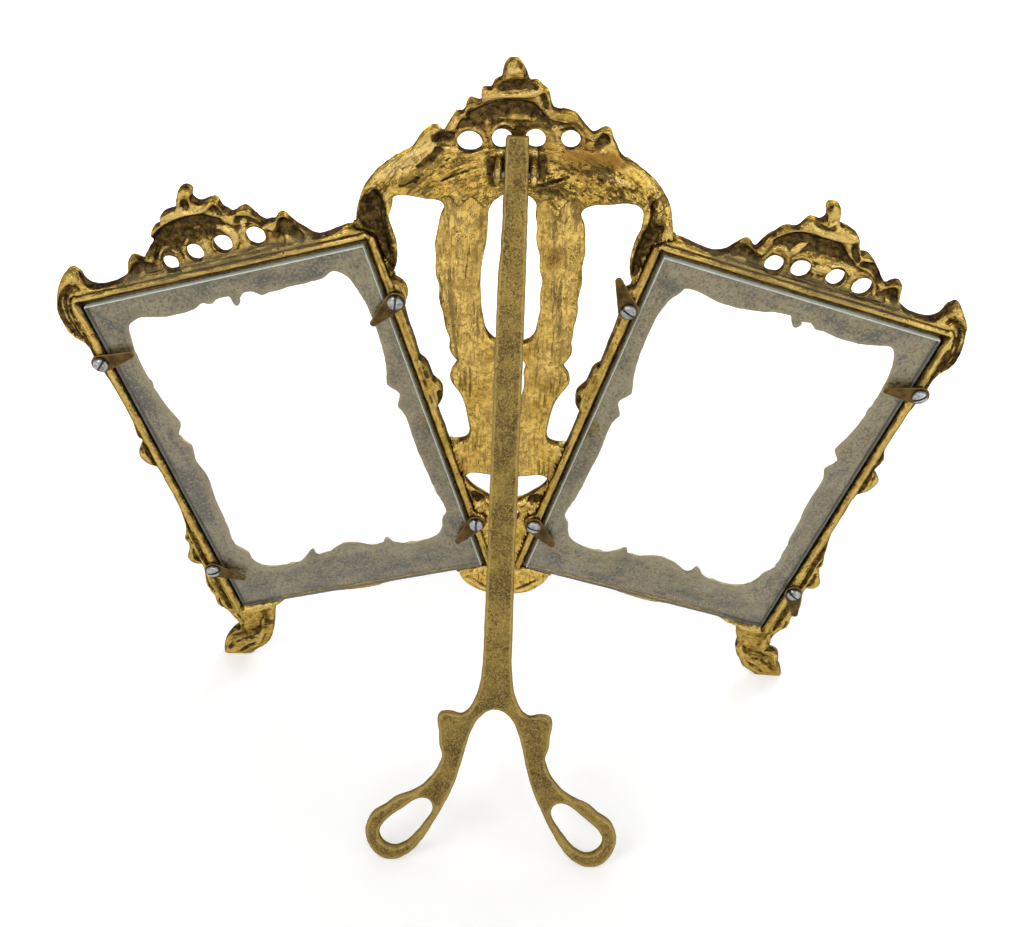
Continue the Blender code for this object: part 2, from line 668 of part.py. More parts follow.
def make_centre():
    """The pierced centre panel, cut back by the two frames' outlines where it meets them."""
    crest = moved(CREST, up=CENTRE_CREST_UP)
    for index in FINIAL:
        crest[index] = (crest[index][0], crest[index][1] + FINIAL_STRETCH)
    outline = crest + mirrored(PANEL_SHOULDER + LYRE_BAR + PENDANT)
    piercings = [mirrored(LYRE_EYE), mirrored(LYRE_DROP), mirrored(HALF_MOON), mirrored(LOWER_EYE)]
    casting = slab(
        "centre_panel", [outline] + piercings, PANEL_FRONT, PANEL_BACK, chamfer=EDGE_CHAMFER,
        material=brass,
    )
    floor = PANEL_FRONT + FLOOR_THICKNESS
    hollow = crest_hollow("centre_crest_hollow", 1.0, CENTRE_CREST_UP, floor, PAST_FACE)
    cut(casting, hollow)
    tools = [hollow]
    tools += pierce_crest(casting, "centre", 1.0, CENTRE_CREST_UP, PANEL_FRONT, floor)
    for name, side in SIDES.items():
        channel = slab(f"{name}_arm_channel", [facing(ARM_CHANNEL, side)], floor, PAST_FACE)
        seat = slab(
            f"{name}_frame_seat", [frame_outline(side)], PANEL_FRONT - PAST_FACE, PAST_FACE,
            grow=CLEARANCE,
        )
        ear = make_ear(f"{name}_hinge_ear", EAR_GAP / 2 if side > 0 else -EAR_GAP / 2 - EAR_THICKNESS)
        cut(casting, channel, seat)
        join(casting, ear)
        place(seat, panel, frame_middle(side), (0, 0, -side * FRAME_TILT))
        tools += [channel, ear]
    reach = EAR_GAP / 2 + EAR_THICKNESS + 2
    drill = rod(
        "ear_drilling", SHAFT_HOLE,
        (-reach, PIN_HEIGHT, PIN_STANDOFF), (reach, PIN_HEIGHT, PIN_STANDOFF),
    )
    cut(casting, drill)
    tools.append(drill)
    for thing in [casting] + tools:
        place(thing, panel)
    return smooth(casting)


def strut_reach():
    """From the pin down the strut to the ground, with the depth of the foot's level face."""
    lean = radians(LEAN)
    drop = panel_rise() + PIN_HEIGHT * cos(lean) - PIN_STANDOFF * sin(lean)
    return (drop + FLAT_DEPTH) / cos(radians(STRUT_OPEN - LEAN))


def tail_length():
    """How far the strut runs on above the pin for its end to stop just short of the panel."""
    opening = radians(STRUT_OPEN)
    room = PIN_STANDOFF - PANEL_BACK - CLEARANCE - STRUT_SINK * cos(opening)
    return room / sin(opening) + STRUT_CHAMFER


def make_strut():
    """The forked strut. Its tail above the pin meets the panel and stops it opening further."""
    reach = strut_reach()
    half = [(TAIL_HALF_WIDTH, tail_length(), "corner")]
    half += [(x, -down) for x, down in SHAFT]
    half += [(x, up - reach, *kind) for x, up, *kind in FORK]
    eye = [(x, up - reach) for x, up in FORK_EYE]
    strut = slab(
        "easel_strut", [mirrored(half), eye, facing(eye, -1)],
        -STRUT_SINK, STRUT_THICKNESS - STRUT_SINK, chamfer=STRUT_CHAMFER, material=strut_brass,
    )
    across = EAR_GAP / 2 - CLEARANCE
    knuckle = rod("strut_knuckle", KNUCKLE_RADIUS, (-across, 0, 0), (across, 0, 0))
    drill = rod("strut_drilling", SHAFT_HOLE, (-EAR_GAP, 0, 0), (EAR_GAP, 0, 0))
    join(strut, knuckle)
    cut(strut, drill)
    for thing in (strut, knuckle, drill):
        place(thing, strut_hinge)
    cut(strut, ground_cutter("strut_ground"))
    return smooth(strut)


def make_pin():
    reach = EAR_GAP / 2 + EAR_THICKNESS + CLEARANCE
    pin = rod("hinge_pin", PIN_RADIUS, (-reach, 0, 0), (reach, 0, 0), material=steel)
    return smooth(place(pin, panel, (0.0, PIN_HEIGHT, PIN_STANDOFF)))


def centre_on_the_ground():
    """Shifts the whole part so that its middle stands over the origin."""
    bpy.context.view_layer.update()
    graph = bpy.context.evaluated_depsgraph_get()
    corners = []
    for thing in parts.objects:
        if thing.type == "MESH":
            shown = thing.evaluated_get(graph)
            corners += [shown.matrix_world @ vert.co for vert in shown.data.vertices]
    for axis in (0, 1):
        low = min(corner[axis] for corner in corners)
        high = max(corner[axis] for corner in corners)
        origin.location[axis] -= (low + high) / 2


for old in list(bpy.data.objects):
    bpy.data.objects.remove(old, do_unlink=True)

parts = new_collection("double_photo_frame")
cutters = new_collection("cutters")
brass = metal("cast_brass", (0.60, 0.43, 0.16), 0.38)
strut_brass = metal("sand_cast_brass", (0.42, 0.31, 0.14), 0.55)
dark_brass = metal("dark_brass_strip", (0.30, 0.19, 0.07), 0.45)
steel = metal("bright_steel", (0.66, 0.67, 0.68), 0.25)
glass = clear_glass("window_glass")

origin = empty("stand_origin")
panel = empty("panel_plane", origin, (0, 0, panel_rise()), (90 + LEAN, 0, 180))
strut_hinge = empty("strut_hinge", panel, (0, PIN_HEIGHT, PIN_STANDOFF), (-STRUT_OPEN, 0, 0))

make_centre()
for frame_name, frame_side in SIDES.items():
    frame_casting, frame_holder = make_frame(frame_name, frame_side)
    make_glass(frame_name, frame_holder)
    for (level_name, edge_name), spot in screw_places(frame_side).items():
        label = f"{frame_name}_{level_name}_{edge_name}"
        rise = CLIP_TURNS[(frame_name, level_name, edge_name)]
        heading = 180.0 - rise if spot[0] > 0 else rise
        make_clip(f"{label}_clip", frame_holder, spot, heading)
        make_screw(f"{label}_screw", frame_holder, spot, heading + 35.0)
make_strut()
make_pin()
centre_on_the_ground()
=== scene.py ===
"""Looks of a cast brass easel photograph frame: carved castings, panes, turn clips, screws.

Each casting starts from the plain solid it stands for and is carved along drawn lines.
Lines are in millimetres in the casting's own plane, seen from the back: x to the right, y up,
z out of the back. Zero is the back of the glass.

A drawing is written as text. A comma parts the points of a line, a point is x, y and an optional
share of the width, a colon stands before the line, and a semicolon parts one stroke from the next.
"""

from math import cos, pi, radians, sin

import bmesh
import bpy
import numpy as np
from mathutils import Matrix, Vector, kdtree, noise


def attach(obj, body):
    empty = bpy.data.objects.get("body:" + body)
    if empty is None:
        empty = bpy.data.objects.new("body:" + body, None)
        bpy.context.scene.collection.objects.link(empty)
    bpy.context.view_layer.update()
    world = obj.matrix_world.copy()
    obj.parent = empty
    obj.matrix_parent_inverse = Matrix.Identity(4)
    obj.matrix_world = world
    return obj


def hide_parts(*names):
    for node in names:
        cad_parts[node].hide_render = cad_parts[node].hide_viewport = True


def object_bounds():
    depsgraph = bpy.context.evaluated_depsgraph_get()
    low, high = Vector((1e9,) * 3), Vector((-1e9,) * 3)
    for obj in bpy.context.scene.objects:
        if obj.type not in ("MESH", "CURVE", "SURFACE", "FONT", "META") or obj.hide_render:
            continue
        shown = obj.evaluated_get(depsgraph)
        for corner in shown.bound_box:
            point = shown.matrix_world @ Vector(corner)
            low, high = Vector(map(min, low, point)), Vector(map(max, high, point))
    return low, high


MM = 0.001

# How the castings stand, as in the solid model
LEAN = 15.3
PANEL_DEPTH = -25.9955
PANEL_RISE = 95.7762
FRAME_TILT = 16.07
FRAME_OUT = 67.6005
FRAME_UP = 0.0042
PIN_UP = 99.25
PIN_OUT = 4.2
STRUT_OPEN = 30.0

# The panes and the rims round them
PANE_WIDTH = 87.5
PANE_HEIGHT = 127.0
PANE_THICKNESS = 2.0
GROUND_EDGE = 0.3
# The panes sit towards the outer sides and low in their rebates
PANE_SPREAD = 1.0
PANE_DROP = 1.3
RIM_OUT = 47.75
RIM_UP = 67.5
SCREW_OUT = 47.5
SCREW_UP = 44.45
CENTRE_CREST_UP = 102.5
CENTRE_FACE = -5.1
FRAME_FACE = -4.5
LIP_BACK = -2.3
LIP_EASE = 0.8
FRAME_RIM = 0.4
CENTRE_BACK_FACE = -1.2
STRUT_FACE = -0.3
STRUT_BACK_FACE = 2.7

# Turn clips and screws
CLIP_BACK = 1.5
CLIP_THICKNESS = 0.8
CLIP_LENGTH = 11.5
CLIP_END = 3.1
CLIP_TIP = 1.1
CLIP_LIFT = 0.22
CLIP_ROOM = 0.78
SCREW_HOLE = 1.2
HEAD_SEAT = 1.8
HEAD_RADIUS = 2.35
HEAD_HEIGHT = 1.7
SLOT_WIDTH = 0.6
SLOT_DEPTH = 0.7
SCREW_RADIUS = 0.9
SCREW_LENGTH = 4.2
PIN_RADIUS = 0.9
PIN_REACH = 6.2

# How far a screw's slot is turned from its clip, and what counts as a sharp edge, in degrees
SLOT_TURN = 35
SHARP_TURN = 40

# Which way each clip points, in degrees from straight in over the glass, up being positive
CLIP_TURNS = {
    ("left", "upper", "outer"): -8,
    ("left", "upper", "inner"): 126,
    ("left", "lower", "outer"): -118,
    ("left", "lower", "inner"): -36,
    ("right", "upper", "outer"): 5,
    ("right", "upper", "inner"): -33,
    ("right", "lower", "outer"): -34,
    ("right", "lower", "inner"): -38,
}

# Names of the two frames as the front shows them, and their side of the back view
SIDES = {"left": 1, "right": -1}

# The size of the small even faces of a carved skin
CASTING_GRAIN = 0.48
STRUT_GRAIN = 0.42
CLIP_GRAIN = 0.16

# How strongly each round of smoothing pulls on a new skin
SOFTENING = 0.6
# Carving fades in between these slopes, from 0 for a wall to 1 for a face straight out of the
# back, and anything under the wall slope is an edge
FACING = (0.05, 0.6)
WALL_SLOPE = 0.35
# How far from a bore's wall its reaming reaches, and how far behind the front fills begin
BORE_REACH = 1.3
BEHIND = (1.3, 2.0)
# The rolled edge of the front: how far in from the outline, and how wide
ROLL_AT = 0.9
ROLL_WIDTH = 0.55
# Where the band along the edges of the back fades out, and how high above its face the creases do
RIM_BAND = (0.3, 1.7)
CREASE_TOP = (0.8, 1.8)
# Size and depth of the torn skin in the creases
TEAR_SIZE = 1.3
TEAR_DEPTH = 0.30
# Each kind of lump: its height, its size and where its pattern starts
LUMPS = ((0.09, 4.2, 0.0), (0.05, 1.6, 9.0))
# Rounds and pull of the smoothing that shows what is hollow or proud, close up and at large
CLOSE_LOOK = (5, 0.8)
WIDE_LOOK = (34, 0.9)
# Above this height the file strokes of the centre panel arch round a middle
ARCH_FROM = 88.0
ARCH_MIDDLE = 64.0
ARCH_RADIUS = 36.0

# How far a casting's skin reaches to the castings that it is brazed to and into them, and how
# straight a face has to look at them
JOINT_REACH = 2.0
JOINT_BITE = 0.25
JOINT_FACING = 0.35

# The camera that took the photograph, in metres and degrees
CAMERA_LENS = 45.29
CAMERA_SENSOR = 36.0
CAMERA_PLACE = (-0.004381, 0.356445, 0.256056)
CAMERA_TURN = (66.7838, -1.9413, -178.7596)

# Each lamp's name, place in metres, size and power, and the place they all look at
LAMPS = [
    ("key", (0.75, 1.0, 1.0), 0.8, 7.0), ("fill", (-0.95, 0.7, 0.45), 0.5, 2.5),
    ("small_lamp", (-0.25, 0.95, 0.62), 0.16, 1.3), ("front", (-0.5, -1.1, 0.8), 0.8, 7.0),
    ("front_small", (0.45, -0.9, 0.5), 0.2, 1.5),
]
LAMP_AIM = (0, 0, 0.1)

# The floor's half width, and its height just under the feet, in metres
FLOOR_SIZE = 12.0
FLOOR_HEIGHT = -0.00005

# The middles of the four holes of the crest pattern, from the edge that it grows from
CREST_HOLES = [(-13.0, 3.4), (-4.8, 4.4), (5.2, 4.9), (14.4, 4.7)]
HOLE_RADIUS = 2.9


def rows_of(drawing):
    """Rows of numbers from text, with a comma between rows."""
    return [tuple(float(word) for word in row.split()) for row in drawing.split(",")]


def strokes_of(drawing):
    """Strokes from text: two sizes, a colon and the points, with a semicolon between strokes."""
    made = []
    for stroke in drawing.split(";"):
        sizes, line = stroke.split(":")
        made.append((*rows_of(sizes)[0], rows_of(line)))
    return made


def stains_of(**masks):
    """Strokes that each paint one mask: width to each side, how strong, and the line."""
    return [(mask, *stroke) for mask, drawing in masks.items() for stroke in strokes_of(drawing)]


# One pattern was worked over by hand on each casting. These pulls bend it to each of the three
# crests: place, reach, and how far the metal moves across and up.
CREST_PULLS = {
    "right": rows_of("""
        -22.7 6.5 3 -1 1.5, -13.5 13.5 3.5 -0.2 1.8, -8 17.5 3.5 -1 1.5, -4.5 19 2.5 0.8 0.5,
        -3.4 23.4 1.4 0.9 1, -2.1 24.4 2.6 2.3 0.8, -0.8 23.2 1.4 2.4 0.5, 5 18.3 3 2.2 1.3,
        8.4 13.1 2.5 1.4 0.8, 13 13.4 3.5 0.8 1.8, 20.8 6.3 2.5 0.3 2.3, 24.1 8 2.8 0 2.7,
        27.4 3.1 3 1 1.3, -13 3.4 3.4 -0.3 -0.1, -4.8 4.4 3.6 0 1.3, 5.2 4.9 3.8 -1.8 1.4,
        14.4 4.7 3.8 -0.2 1.8
    """),
    "left": rows_of("""
        -22.7 6.5 3 0.5 1.7, -20.6 4.8 2 0.6 1, -15.5 10.2 2.8 -1 1.8, -12.4 13.9 2.8 -1.5 1.5,
        -7 17.8 3.2 -1.6 2.3, -3.4 23.4 1.4 -3.4 2.4, -2.1 24.4 2.6 -2.6 2,
        -0.8 23.2 1.4 -1.6 2.4, -0.5 20 2.6 -2.2 1.6, 2.2 18.6 1.8 -2.2 2.2, 6 17.5 2.6 0.2 1.6,
        8.4 13.1 2.6 0.8 1.4, 13 13.4 3.4 -1.5 1.4, 18 8.9 3 0 0.8, 20.8 6.3 2.4 0.3 0.8,
        24.1 8 2.8 0.5 1.6, -13 3.4 3.6 0.6 0, -4.8 4.4 3.6 0 0.1, 5.2 4.9 3.6 1.2 0.4,
        14.4 4.7 3.6 0 -0.2
    """),
    "centre": rows_of("""
        -22.7 6.5 2.8 0.8 0.5, -16.6 10 1.6 -0.3 0.9, -14.6 12 1.2 0.4 -0.5, -13 14 1.8 -0.2 1.3,
        -10.5 14.3 1.2 0.6 -0.4, -9 16.8 1.4 -0.6 1.2, -7.4 17.7 1.1 0.5 -0.3,
        -5.6 18.4 1.7 -0.8 2.2, -3.4 23 2 -0.4 0.6, -2.1 24.4 2.4 0.6 0.8, 0.2 22.5 2.2 1.1 1.2,
        1.2 19.6 2.2 1.4 1.2, 4 18.7 2.4 0.6 1.9, 7.2 15.3 2.2 1.3 2.2, 8.4 13.1 1.8 0.8 -0.6,
        13 13.4 3.4 0.5 -0.9, 24.1 8 2.6 0.8 0, -13 3.4 3.8 0 -1.2, -4.8 4.4 3.6 1.3 -0.8,
        5.2 4.9 3.6 -0.4 -1.2, 14.4 4.7 3.6 0.3 -0.3
    """),
}

# The same for the rest of each frame, with its outer side to the right
FRAME_PULLS = {
    "right": rows_of("""
        44 74.3 2.6 0.4 1.4, 46.4 73 2 0.8 1.7, 48 71 3.4 0.8 1.1, 51.6 66 3.4 0.5 0.2,
        53.2 60 3.6 -0.3 0, 50.4 52.6 3.4 -0.9 0, 51.4 7 2.4 0.5 0.2, 49.8 12 1.6 -0.5 0.4,
        51.5 -31 1.6 0.4 1.4, 55.3 -40 2.2 -0.3 1.4, 49.2 -72.6 1.8 -0.5 -0.6,
        53.4 -76.4 2.2 -0.6 1, 48 -88 3.6 0 1.2, -35 54 2.4 -0.5 0, -31.5 56 2.5 0 0.9,
        -18 53.8 4 0 1.2, -24 54.2 3 0 0.9, -8.6 55.2 1.8 0 -1.3, -1.6 54.4 1.2 0.7 0.2,
        1.8 54.4 1.2 -0.8 1.8, 7.2 55.9 1.4 0 -1, 10.6 55 1.5 0 1, 33 55.8 2.4 0 -1.2,
        34.6 16.5 2 0.5 1.6, 36.2 2.6 2.4 -0.8 0, 35.9 -8 6 -1.1 0, 36.2 -40 1.7 -2.8 1.4,
        34.4 -43.4 1.8 -1.5 0.6, 37.2 -37.2 1.2 -0.4 0.8, 24 -51.6 6 0 1.2, -24 -51.6 6 0 1.2,
        0 -47.6 6 0 1.7, 14.3 -48.2 2 -2.2 2.1, 9.6 -49.5 1.6 -1.4 1.4, 16.6 -49.8 1.8 -1.4 2.2,
        -14.4 -48.2 1.6 -0.1 1.5, -10.4 -49.6 1.6 -1.2 1, -17 -50.4 1.6 0 1
    """),
    "left": rows_of("""
        40.4 75.8 1.8 1.2 0.7, 44 74.3 2.6 0.6 1.6, 48 70.8 3.4 0.5 0.9, 52.8 62 4.4 -0.7 0,
        51 53.6 4 -1.1 0, 39.4 73.5 1.8 1.2 0.2, 51 7 2.6 1.1 1.6, 48.9 17.6 1.8 1.1 0,
        49.4 -24 2.4 0.5 0, 55 -39.6 2 -0.2 0.4, 38 -74 5 3.2 0, 43 -82 5 3 0, 49 -87.4 4 2.6 0.8,
        50 -72 3 1.8 0.4, 55 -77 3 1.8 1.4, 59 -85 3 1.6 0, 35 -67.4 3.2 3.2 0, -35.6 53 2.6 1 0,
        -32 55.8 2 0 -0.8, -8 55.6 1.6 0 -0.4, -0.1 52.6 2 2.4 0.6, -2 54.4 1.5 1.8 1.8,
        1.8 54.4 1.2 1.8 0, 4 56 1.2 0.6 -0.6, 8.6 55.2 1.6 0 -1, 36.4 -30 6 1.1 0,
        35.6 -18 6 0.7 0, 36.4 -40 1.5 0.2 1.7, 35.2 7 2 -0.4 0.6, 24 -51.6 6 0 0.9,
        -24 -51.6 6 0 0.9, 0 -47.6 6 0 0.9, -14.6 -48.2 2 1.3 1.3, -10 -49.5 1.6 0.4 1.3,
        -16.6 -49.8 1.8 0.8 1.8, 13.8 -48.2 1.7 -1.2 1.2, 10 -49.6 1.4 0.6 -0.6,
        16.2 -50.2 1.5 -0.6 0.8
    """),
}

# The same for the bars and the left arm of the centre panel
CENTRE_PULLS = rows_of("""
    -36.3 85 3 1.6 0, -20.4 82 3.6 -1 0, -21.3 74 4.6 -1.3 0, -21.2 65 4.6 -1.4 0,
    -20.6 55 4.6 -1.2 0, -19.8 46 4 -0.7 0, 8.2 84 3.6 -1.6 0, 8.8 76 4.6 -1.5 0,
    9.4 67 4.6 -1.4 0, 9.6 57 4.6 -1.2 0, 9 48 4 -0.6 0, 19.5 84 3.6 -0.8 0, 20.6 76 4.6 -0.8 0,
    21 67 4.6 -1.3 0, 20.6 57 4.6 -1.1 0, 19.8 47 4 -0.6 0
""")

# How much each of a crest's holes is opened up or closed in
CREST_REAMING = {
    "right": (-0.4, -0.2, 0.1, 0.1), "left": (0.0, 0.2, 0.0, 0.1), "centre": (0.6, 0.0, 0.0, -0.2),
}

# Filled and dished places: width to each side, depth below the back face, and the line, each
# point with an optional share of the width. The crest's are measured from its own edge.
CREST_FILL = strokes_of("""
    7.5 -1.15: -19 3 0.7, -10 4.2, 0 4.8, 10 5, 19 3.8 0.7;
    3.2 -0.9: -21.5 0.8, 0 0.6, 22.5 0.8
""")
CREST_DISH = {
    "right": strokes_of("""
        3 -2.8: -15.8 10.2 0.5, -11 12.8, -5 14.2, 0.5 14.2, 5.4 13 0.6;
        2.2 -1.9: -25 3.4 0.6, -22 5, -19.6 4.4 0.7;
        2.8 -2: 22.4 5.4 0.7, 24.2 8, 25.6 5, 27 3.6 0.6;
        1.5 -1.5: -1.5 19.8, -1.2 20.8 0.8;
        1.2 -1.4: 5 16.8 0.6, 6.8 17.4, 7.4 15.4 0.6;
        1.8 -1.8: 11.4 12.4 0.6, 14 12, 17.6 9.2 0.6
    """),
    "left": strokes_of("""
        3 -2.7: -15 11 0.5, -9.6 13.6, -4 13.9, 1.4 13.8, 4.4 12.6 0.6;
        2.4 -1.9: -25.4 4 0.6, -23.6 5.4, -20 4.6 0.7;
        2.6 -1.7: 21.2 5 0.7, 23.4 6, 25.2 4 0.6;
        1.5 -1.7: 6 16.4 0.6, 7 14.8, 8.6 12.8 0.6;
        1.8 -1.8: 10.8 12 0.6, 14.6 12, 17.8 8.8 0.6;
        1.4 -1: -5.9 24.8, -5.6 25.6 0.7;
        1.3 -1.2: -7.6 19.6 0.6, -5 19 0.8
    """),
    "centre": strokes_of("""
        2.9 -2.6: -12.8 11 0.4, -7 12.4, -2 13.2, 2.6 12.9, 6 11.4 0.5;
        2.6 -1.7: -3.4 18.9 0.7, 0 19.3, 3.8 19 0.6;
        2.4 -1.7: -21.6 4 0.7, -18.6 4.6 0.8;
        2.2 -1.5: 22.6 4.4 0.8, 24 5.4;
        1.3 -1.6: 6.6 16.6 0.8, 7.2 13.8 0.6;
        1 -1.2: 0 25.8, 0.4 24.6 0.6
    """),
}

HORN_DISH = strokes_of("""
    2.4 -1.3: 43.4 70.4 0.4, 46.4 69.6 0.8, 49.6 66.6, 51.3 62.4, 51.2 58, 50.2 54.2 0.5
""")
FOOT_DISH = strokes_of("""
    3 -0.5: 42 -76 0.5, 48 -78.4, 53 -79.4, 57 -83 0.5
""")
FOOT_FILL = strokes_of("""
    5.4 0: 34 -69.2, 48 -69.4;
    5.2 0: 34 -71.6, 40 -72, 48 -73;
    3.2 0: 45.6 -68.2, 46.2 -74
""")
# The front is hollowed out behind the crest's holes
CREST_HOLLOW = strokes_of("""
    6.4 1.7: -18 3.4 0.8, -10 4.2, 0 5, 10 5, 19 4 0.8
""")
CENTRE_FILL = strokes_of("""
    3.4 -0.3: 41.6 88.6, 41.6 84.4
""")
CENTRE_DISH = strokes_of("""
    5.6 -1.1: -40.6 88 0.6, -40.2 84, -39.4 79, -38.2 73 0.8, -37 66 0.7;
    2.6 -1.7: -39 82 0.5, -38.6 76, -37.4 69 0.7;
    5 -1.1: 39.6 82 0.5, 38.8 77, 37.4 71 0.8, 36.2 65 0.7;
    2.4 -1.7: 38 79 0.5, 37 73, 35.6 67 0.7;
    3.4 -1.6: 8.2 -20.4 0.6, 11 -20.6, 12.6 -17.4 0.4;
    3.4 -1.6: -8.2 -20.4 0.6, -11 -20.6, -12.6 -17.4 0.4;
    5 -1.4: 0 -46 0.6, 0 -57
""")

# Raised and sunk lines: width to each side, height (a groove is below zero), and the line
CREST_BACK = {
    "right": strokes_of("""
        0.9 0.6: -26.4 3.6, -24.6 6.8, -22 8.2, -19.6 6.6, -17.8 9.6, -15.6 12.6, -12 14.9,
            -8 16.5, -3 17.3, 2 17.4, 5 18.4, 6.9 19.7, 8.1 17, 9.5 14.8, 12 14.4, 14 13.1,
            16.2 11.7, 18.5 10.1, 21 9.8, 23.6 11.4, 25 10.4, 26.2 7.8, 28.2 5.2, 31 3.2;
        1 0.55: -15.6 5.8 0.6, -14 8.2, -11.8 8.6, -9.8 6.4 0.7;
        1.2 0.5: -9.6 11.6 0.7, -8 11.2;
        1.3 0.5: -7.4 4 0.7, -7.2 7.4, -5.2 9.6 0.5;
        1.1 0.5: -0.9 4.2, -0.6 8;
        1.7 0.6: 4.4 11 0.5, 7 9.8, 8.2 7, 7.4 4.4 0.5;
        1 0.6: 11.4 8 0.6, 12.6 11.2, 14.8 11.5, 17.2 9.8, 18 7.2 0.6;
        0.9 0.5: -2.8 20.6 0.6, -1.6 23.4, 0.4 24.8, 1.2 22.6, 0.4 19.4 0.6;
        0.7 0.35: -15 16 0.5, -12.6 16.8, -10.4 17.6, -5 19.4 0.6;
        0.6 -0.4: -11.4 16.2 0.5, -8.2 17.2 0.6
    """),
    "left": strokes_of("""
        0.9 0.6: -28 3.6, -25.6 7.4, -24 8.4, -22 7.4, -20 7.4, -17.6 11, -14.6 14.7, -10.6 16.2,
            -5 16.3, 0 16.7, 4 17.9, 6.2 18.4, 7.8 16, 9.6 13.8, 13 13.7, 15.6 12.5, 18.2 9.9,
            20.4 8.4, 22.6 9, 24.6 8, 26 5.2, 27.8 2.8;
        0.6 0.4: -16.6 9 0.6, -14 12.6, -10.6 14.6 0.6;
        1 0.5: -16.6 4.6 0.6, -15 8, -12.4 9, -10 7.6 0.7;
        1.3 0.6: -9 9.4 0.7, -7.4 11.4, -6.4 12.6 0.5;
        1 0.5: -8.6 7.2 0.6, -5.6 8.8, -2.4 7.2 0.6;
        2 0.5: -0.6 6.4, 2.4 6.6;
        1 0.6: 3.2 8.2 0.6, 6 9.5, 8.8 7.6 0.7;
        1.1 0.6: 10.8 8.6 0.6, 14 9.3, 16.8 7, 18.6 3.8 0.6;
        1 0.5: -6.8 23.4 0.7, -6.6 26.2, -4.8 26.8, -3.8 24 0.8;
        1.2 0.5: -3.8 20.4, -2.6 21.4 0.6;
        0.9 0.45: 2.8 19.4 0.6, 5.4 20.2, 7.2 18.8 0.6
    """),
    "centre": strokes_of("""
        0.9 0.5: -26.4 1.2, -24.9 4.8, -23.2 6.9, -21.4 6.6, -19.2 6, -17 7.5, -15 11, -13.2 13.4,
            -11.2 14.5;
        1.2 0.8: -11.4 14.4 0.7, -8 15.8, -4 16.5, 0 16.8, 3.6 17.4, 5.6 18 0.7;
        0.6 0.4: -13.8 11.6 0.6, -9.4 14, -5 14.9, 0 15.2 0.7;
        0.8 0.5: 5.6 20 0.7, 7.8 17.2, 8.6 14.6, 9.8 12.4, 13 12.3, 15.6 11.2, 18 8.2, 19.8 6.6,
            21.6 7.2, 23.4 8, 25.2 5.6, 27 2.6;
        0.9 0.6: -6.9 5.6 0.6, -5.6 7.6, -3.4 8.6, -1.2 7.6 0.6;
        0.9 0.6: 9.4 7.2 0.6, 12.2 8.2, 14.8 8.6, 17.4 6.6, 18.2 4 0.5;
        1.4 0.5: 10.8 4.4 0.6, 10.4 7;
        0.9 0.5: -16.6 4.6 0.6, -15.4 6, -12.8 6.8, -9.8 5.6, -8.6 3.4 0.6;
        1 0.35: -5.6 10 0.6, 0 10.3, 4.6 10 0.6;
        1.5 0.8: -1.9 23.2, -1.2 23.5;
        0.7 0.4: -4.2 20.8 0.6, -3.4 24.2, -2 26.6, 0.6 26.4, 1.4 22.8 0.6;
        0.6 -0.4: -9.4 17 0.6, -7 18.4 0.6;
        1 0.4: -8 18.6, -5.8 20 0.6
    """),
}

FRAME_BACK = strokes_of("""
    0.7 0.4: -46.6 66.3, 0 66.4, 46.6 66.3;
    0.5 -0.35: -45 67.5, 0 67.5, 45 67.5;
    0.6 0.25: -40 68.3, 0 68.2, 40 68.3;
    0.6 -0.5: -30 69.4, -15 69, 0 69, 15 69, 30 69.4;
    0.7 0.35: 28 69.4, 34 68.2, 40 68.4;
    0.7 0.35: -28 69.4, -34 68.4, -42 68.4
""")

HORN_BACK = strokes_of("""
    0.8 0.6: 42.4 74.4, 44.6 73.2, 48.4 71, 51.8 67.2, 53.2 62, 53 57.2, 50.9 52.6;
    0.7 0.5: 42.8 70.4 0.5, 45.8 69, 48.2 66.4, 49.6 63, 49.9 58.8, 49.2 54.6 0.5;
    0.5 0.4: 43.6 71.8 0.5, 47.2 70.2, 50.2 66.6, 51.3 62, 50.8 57 0.5;
    0.5 -0.5: 44.6 67.8 0.5, 46.8 67.2, 48.4 64.8, 48.8 61 0.5;
    1.5 0.6: 42.6 73, 43.6 74.6
""")

SIDE_BACK = strokes_of("""
    0.8 0.4: 46.9 66, 47 0, 47.2 -66;
    0.8 0.4: -46.2 66, -46.2 -66;
    0.7 -0.5: 48.6 55, 48.7 0, 49.2 -64;
    0.9 -0.6: 50.6 12, 50.2 8.6 0.6;
    1 -0.6: 50.6 -24 0.5, 51.2 -28.5, 50.6 -32 0.5;
    1 0.4: 51.2 -27, 51.9 -30.5;
    1 0.5: 52 -37, 54.4 -39.6, 52.6 -42;
    1 -0.7: 51.4 -34.6 0.5, 52 -37.8, 51.4 -41 0.5;
    1 -0.7: 52.2 -46.5 0.5, 52.8 -51, 52 -55.5 0.5;
    0.9 -0.7: 51.8 -59 0.5, 52.4 -61, 51.8 -64 0.5;
    0.8 0.4: 53.4 -47.6, 53.8 -52.6;
    1.3 -0.7: -50.5 9.2, -49.7 5
""")

FOOT_BACK = strokes_of("""
    1.2 0.35: 49 -67 0.6, 48.8 -72, 50.6 -75.6, 53.6 -76.4 0.5;
    1.2 0.4: 40 -72 0.6, 43.4 -79, 47.6 -84, 54 -86.4 0.6;
    0.8 0.35: 46 -81.4 0.5, 50.4 -82.4, 54.6 -84.6 0.5
""")

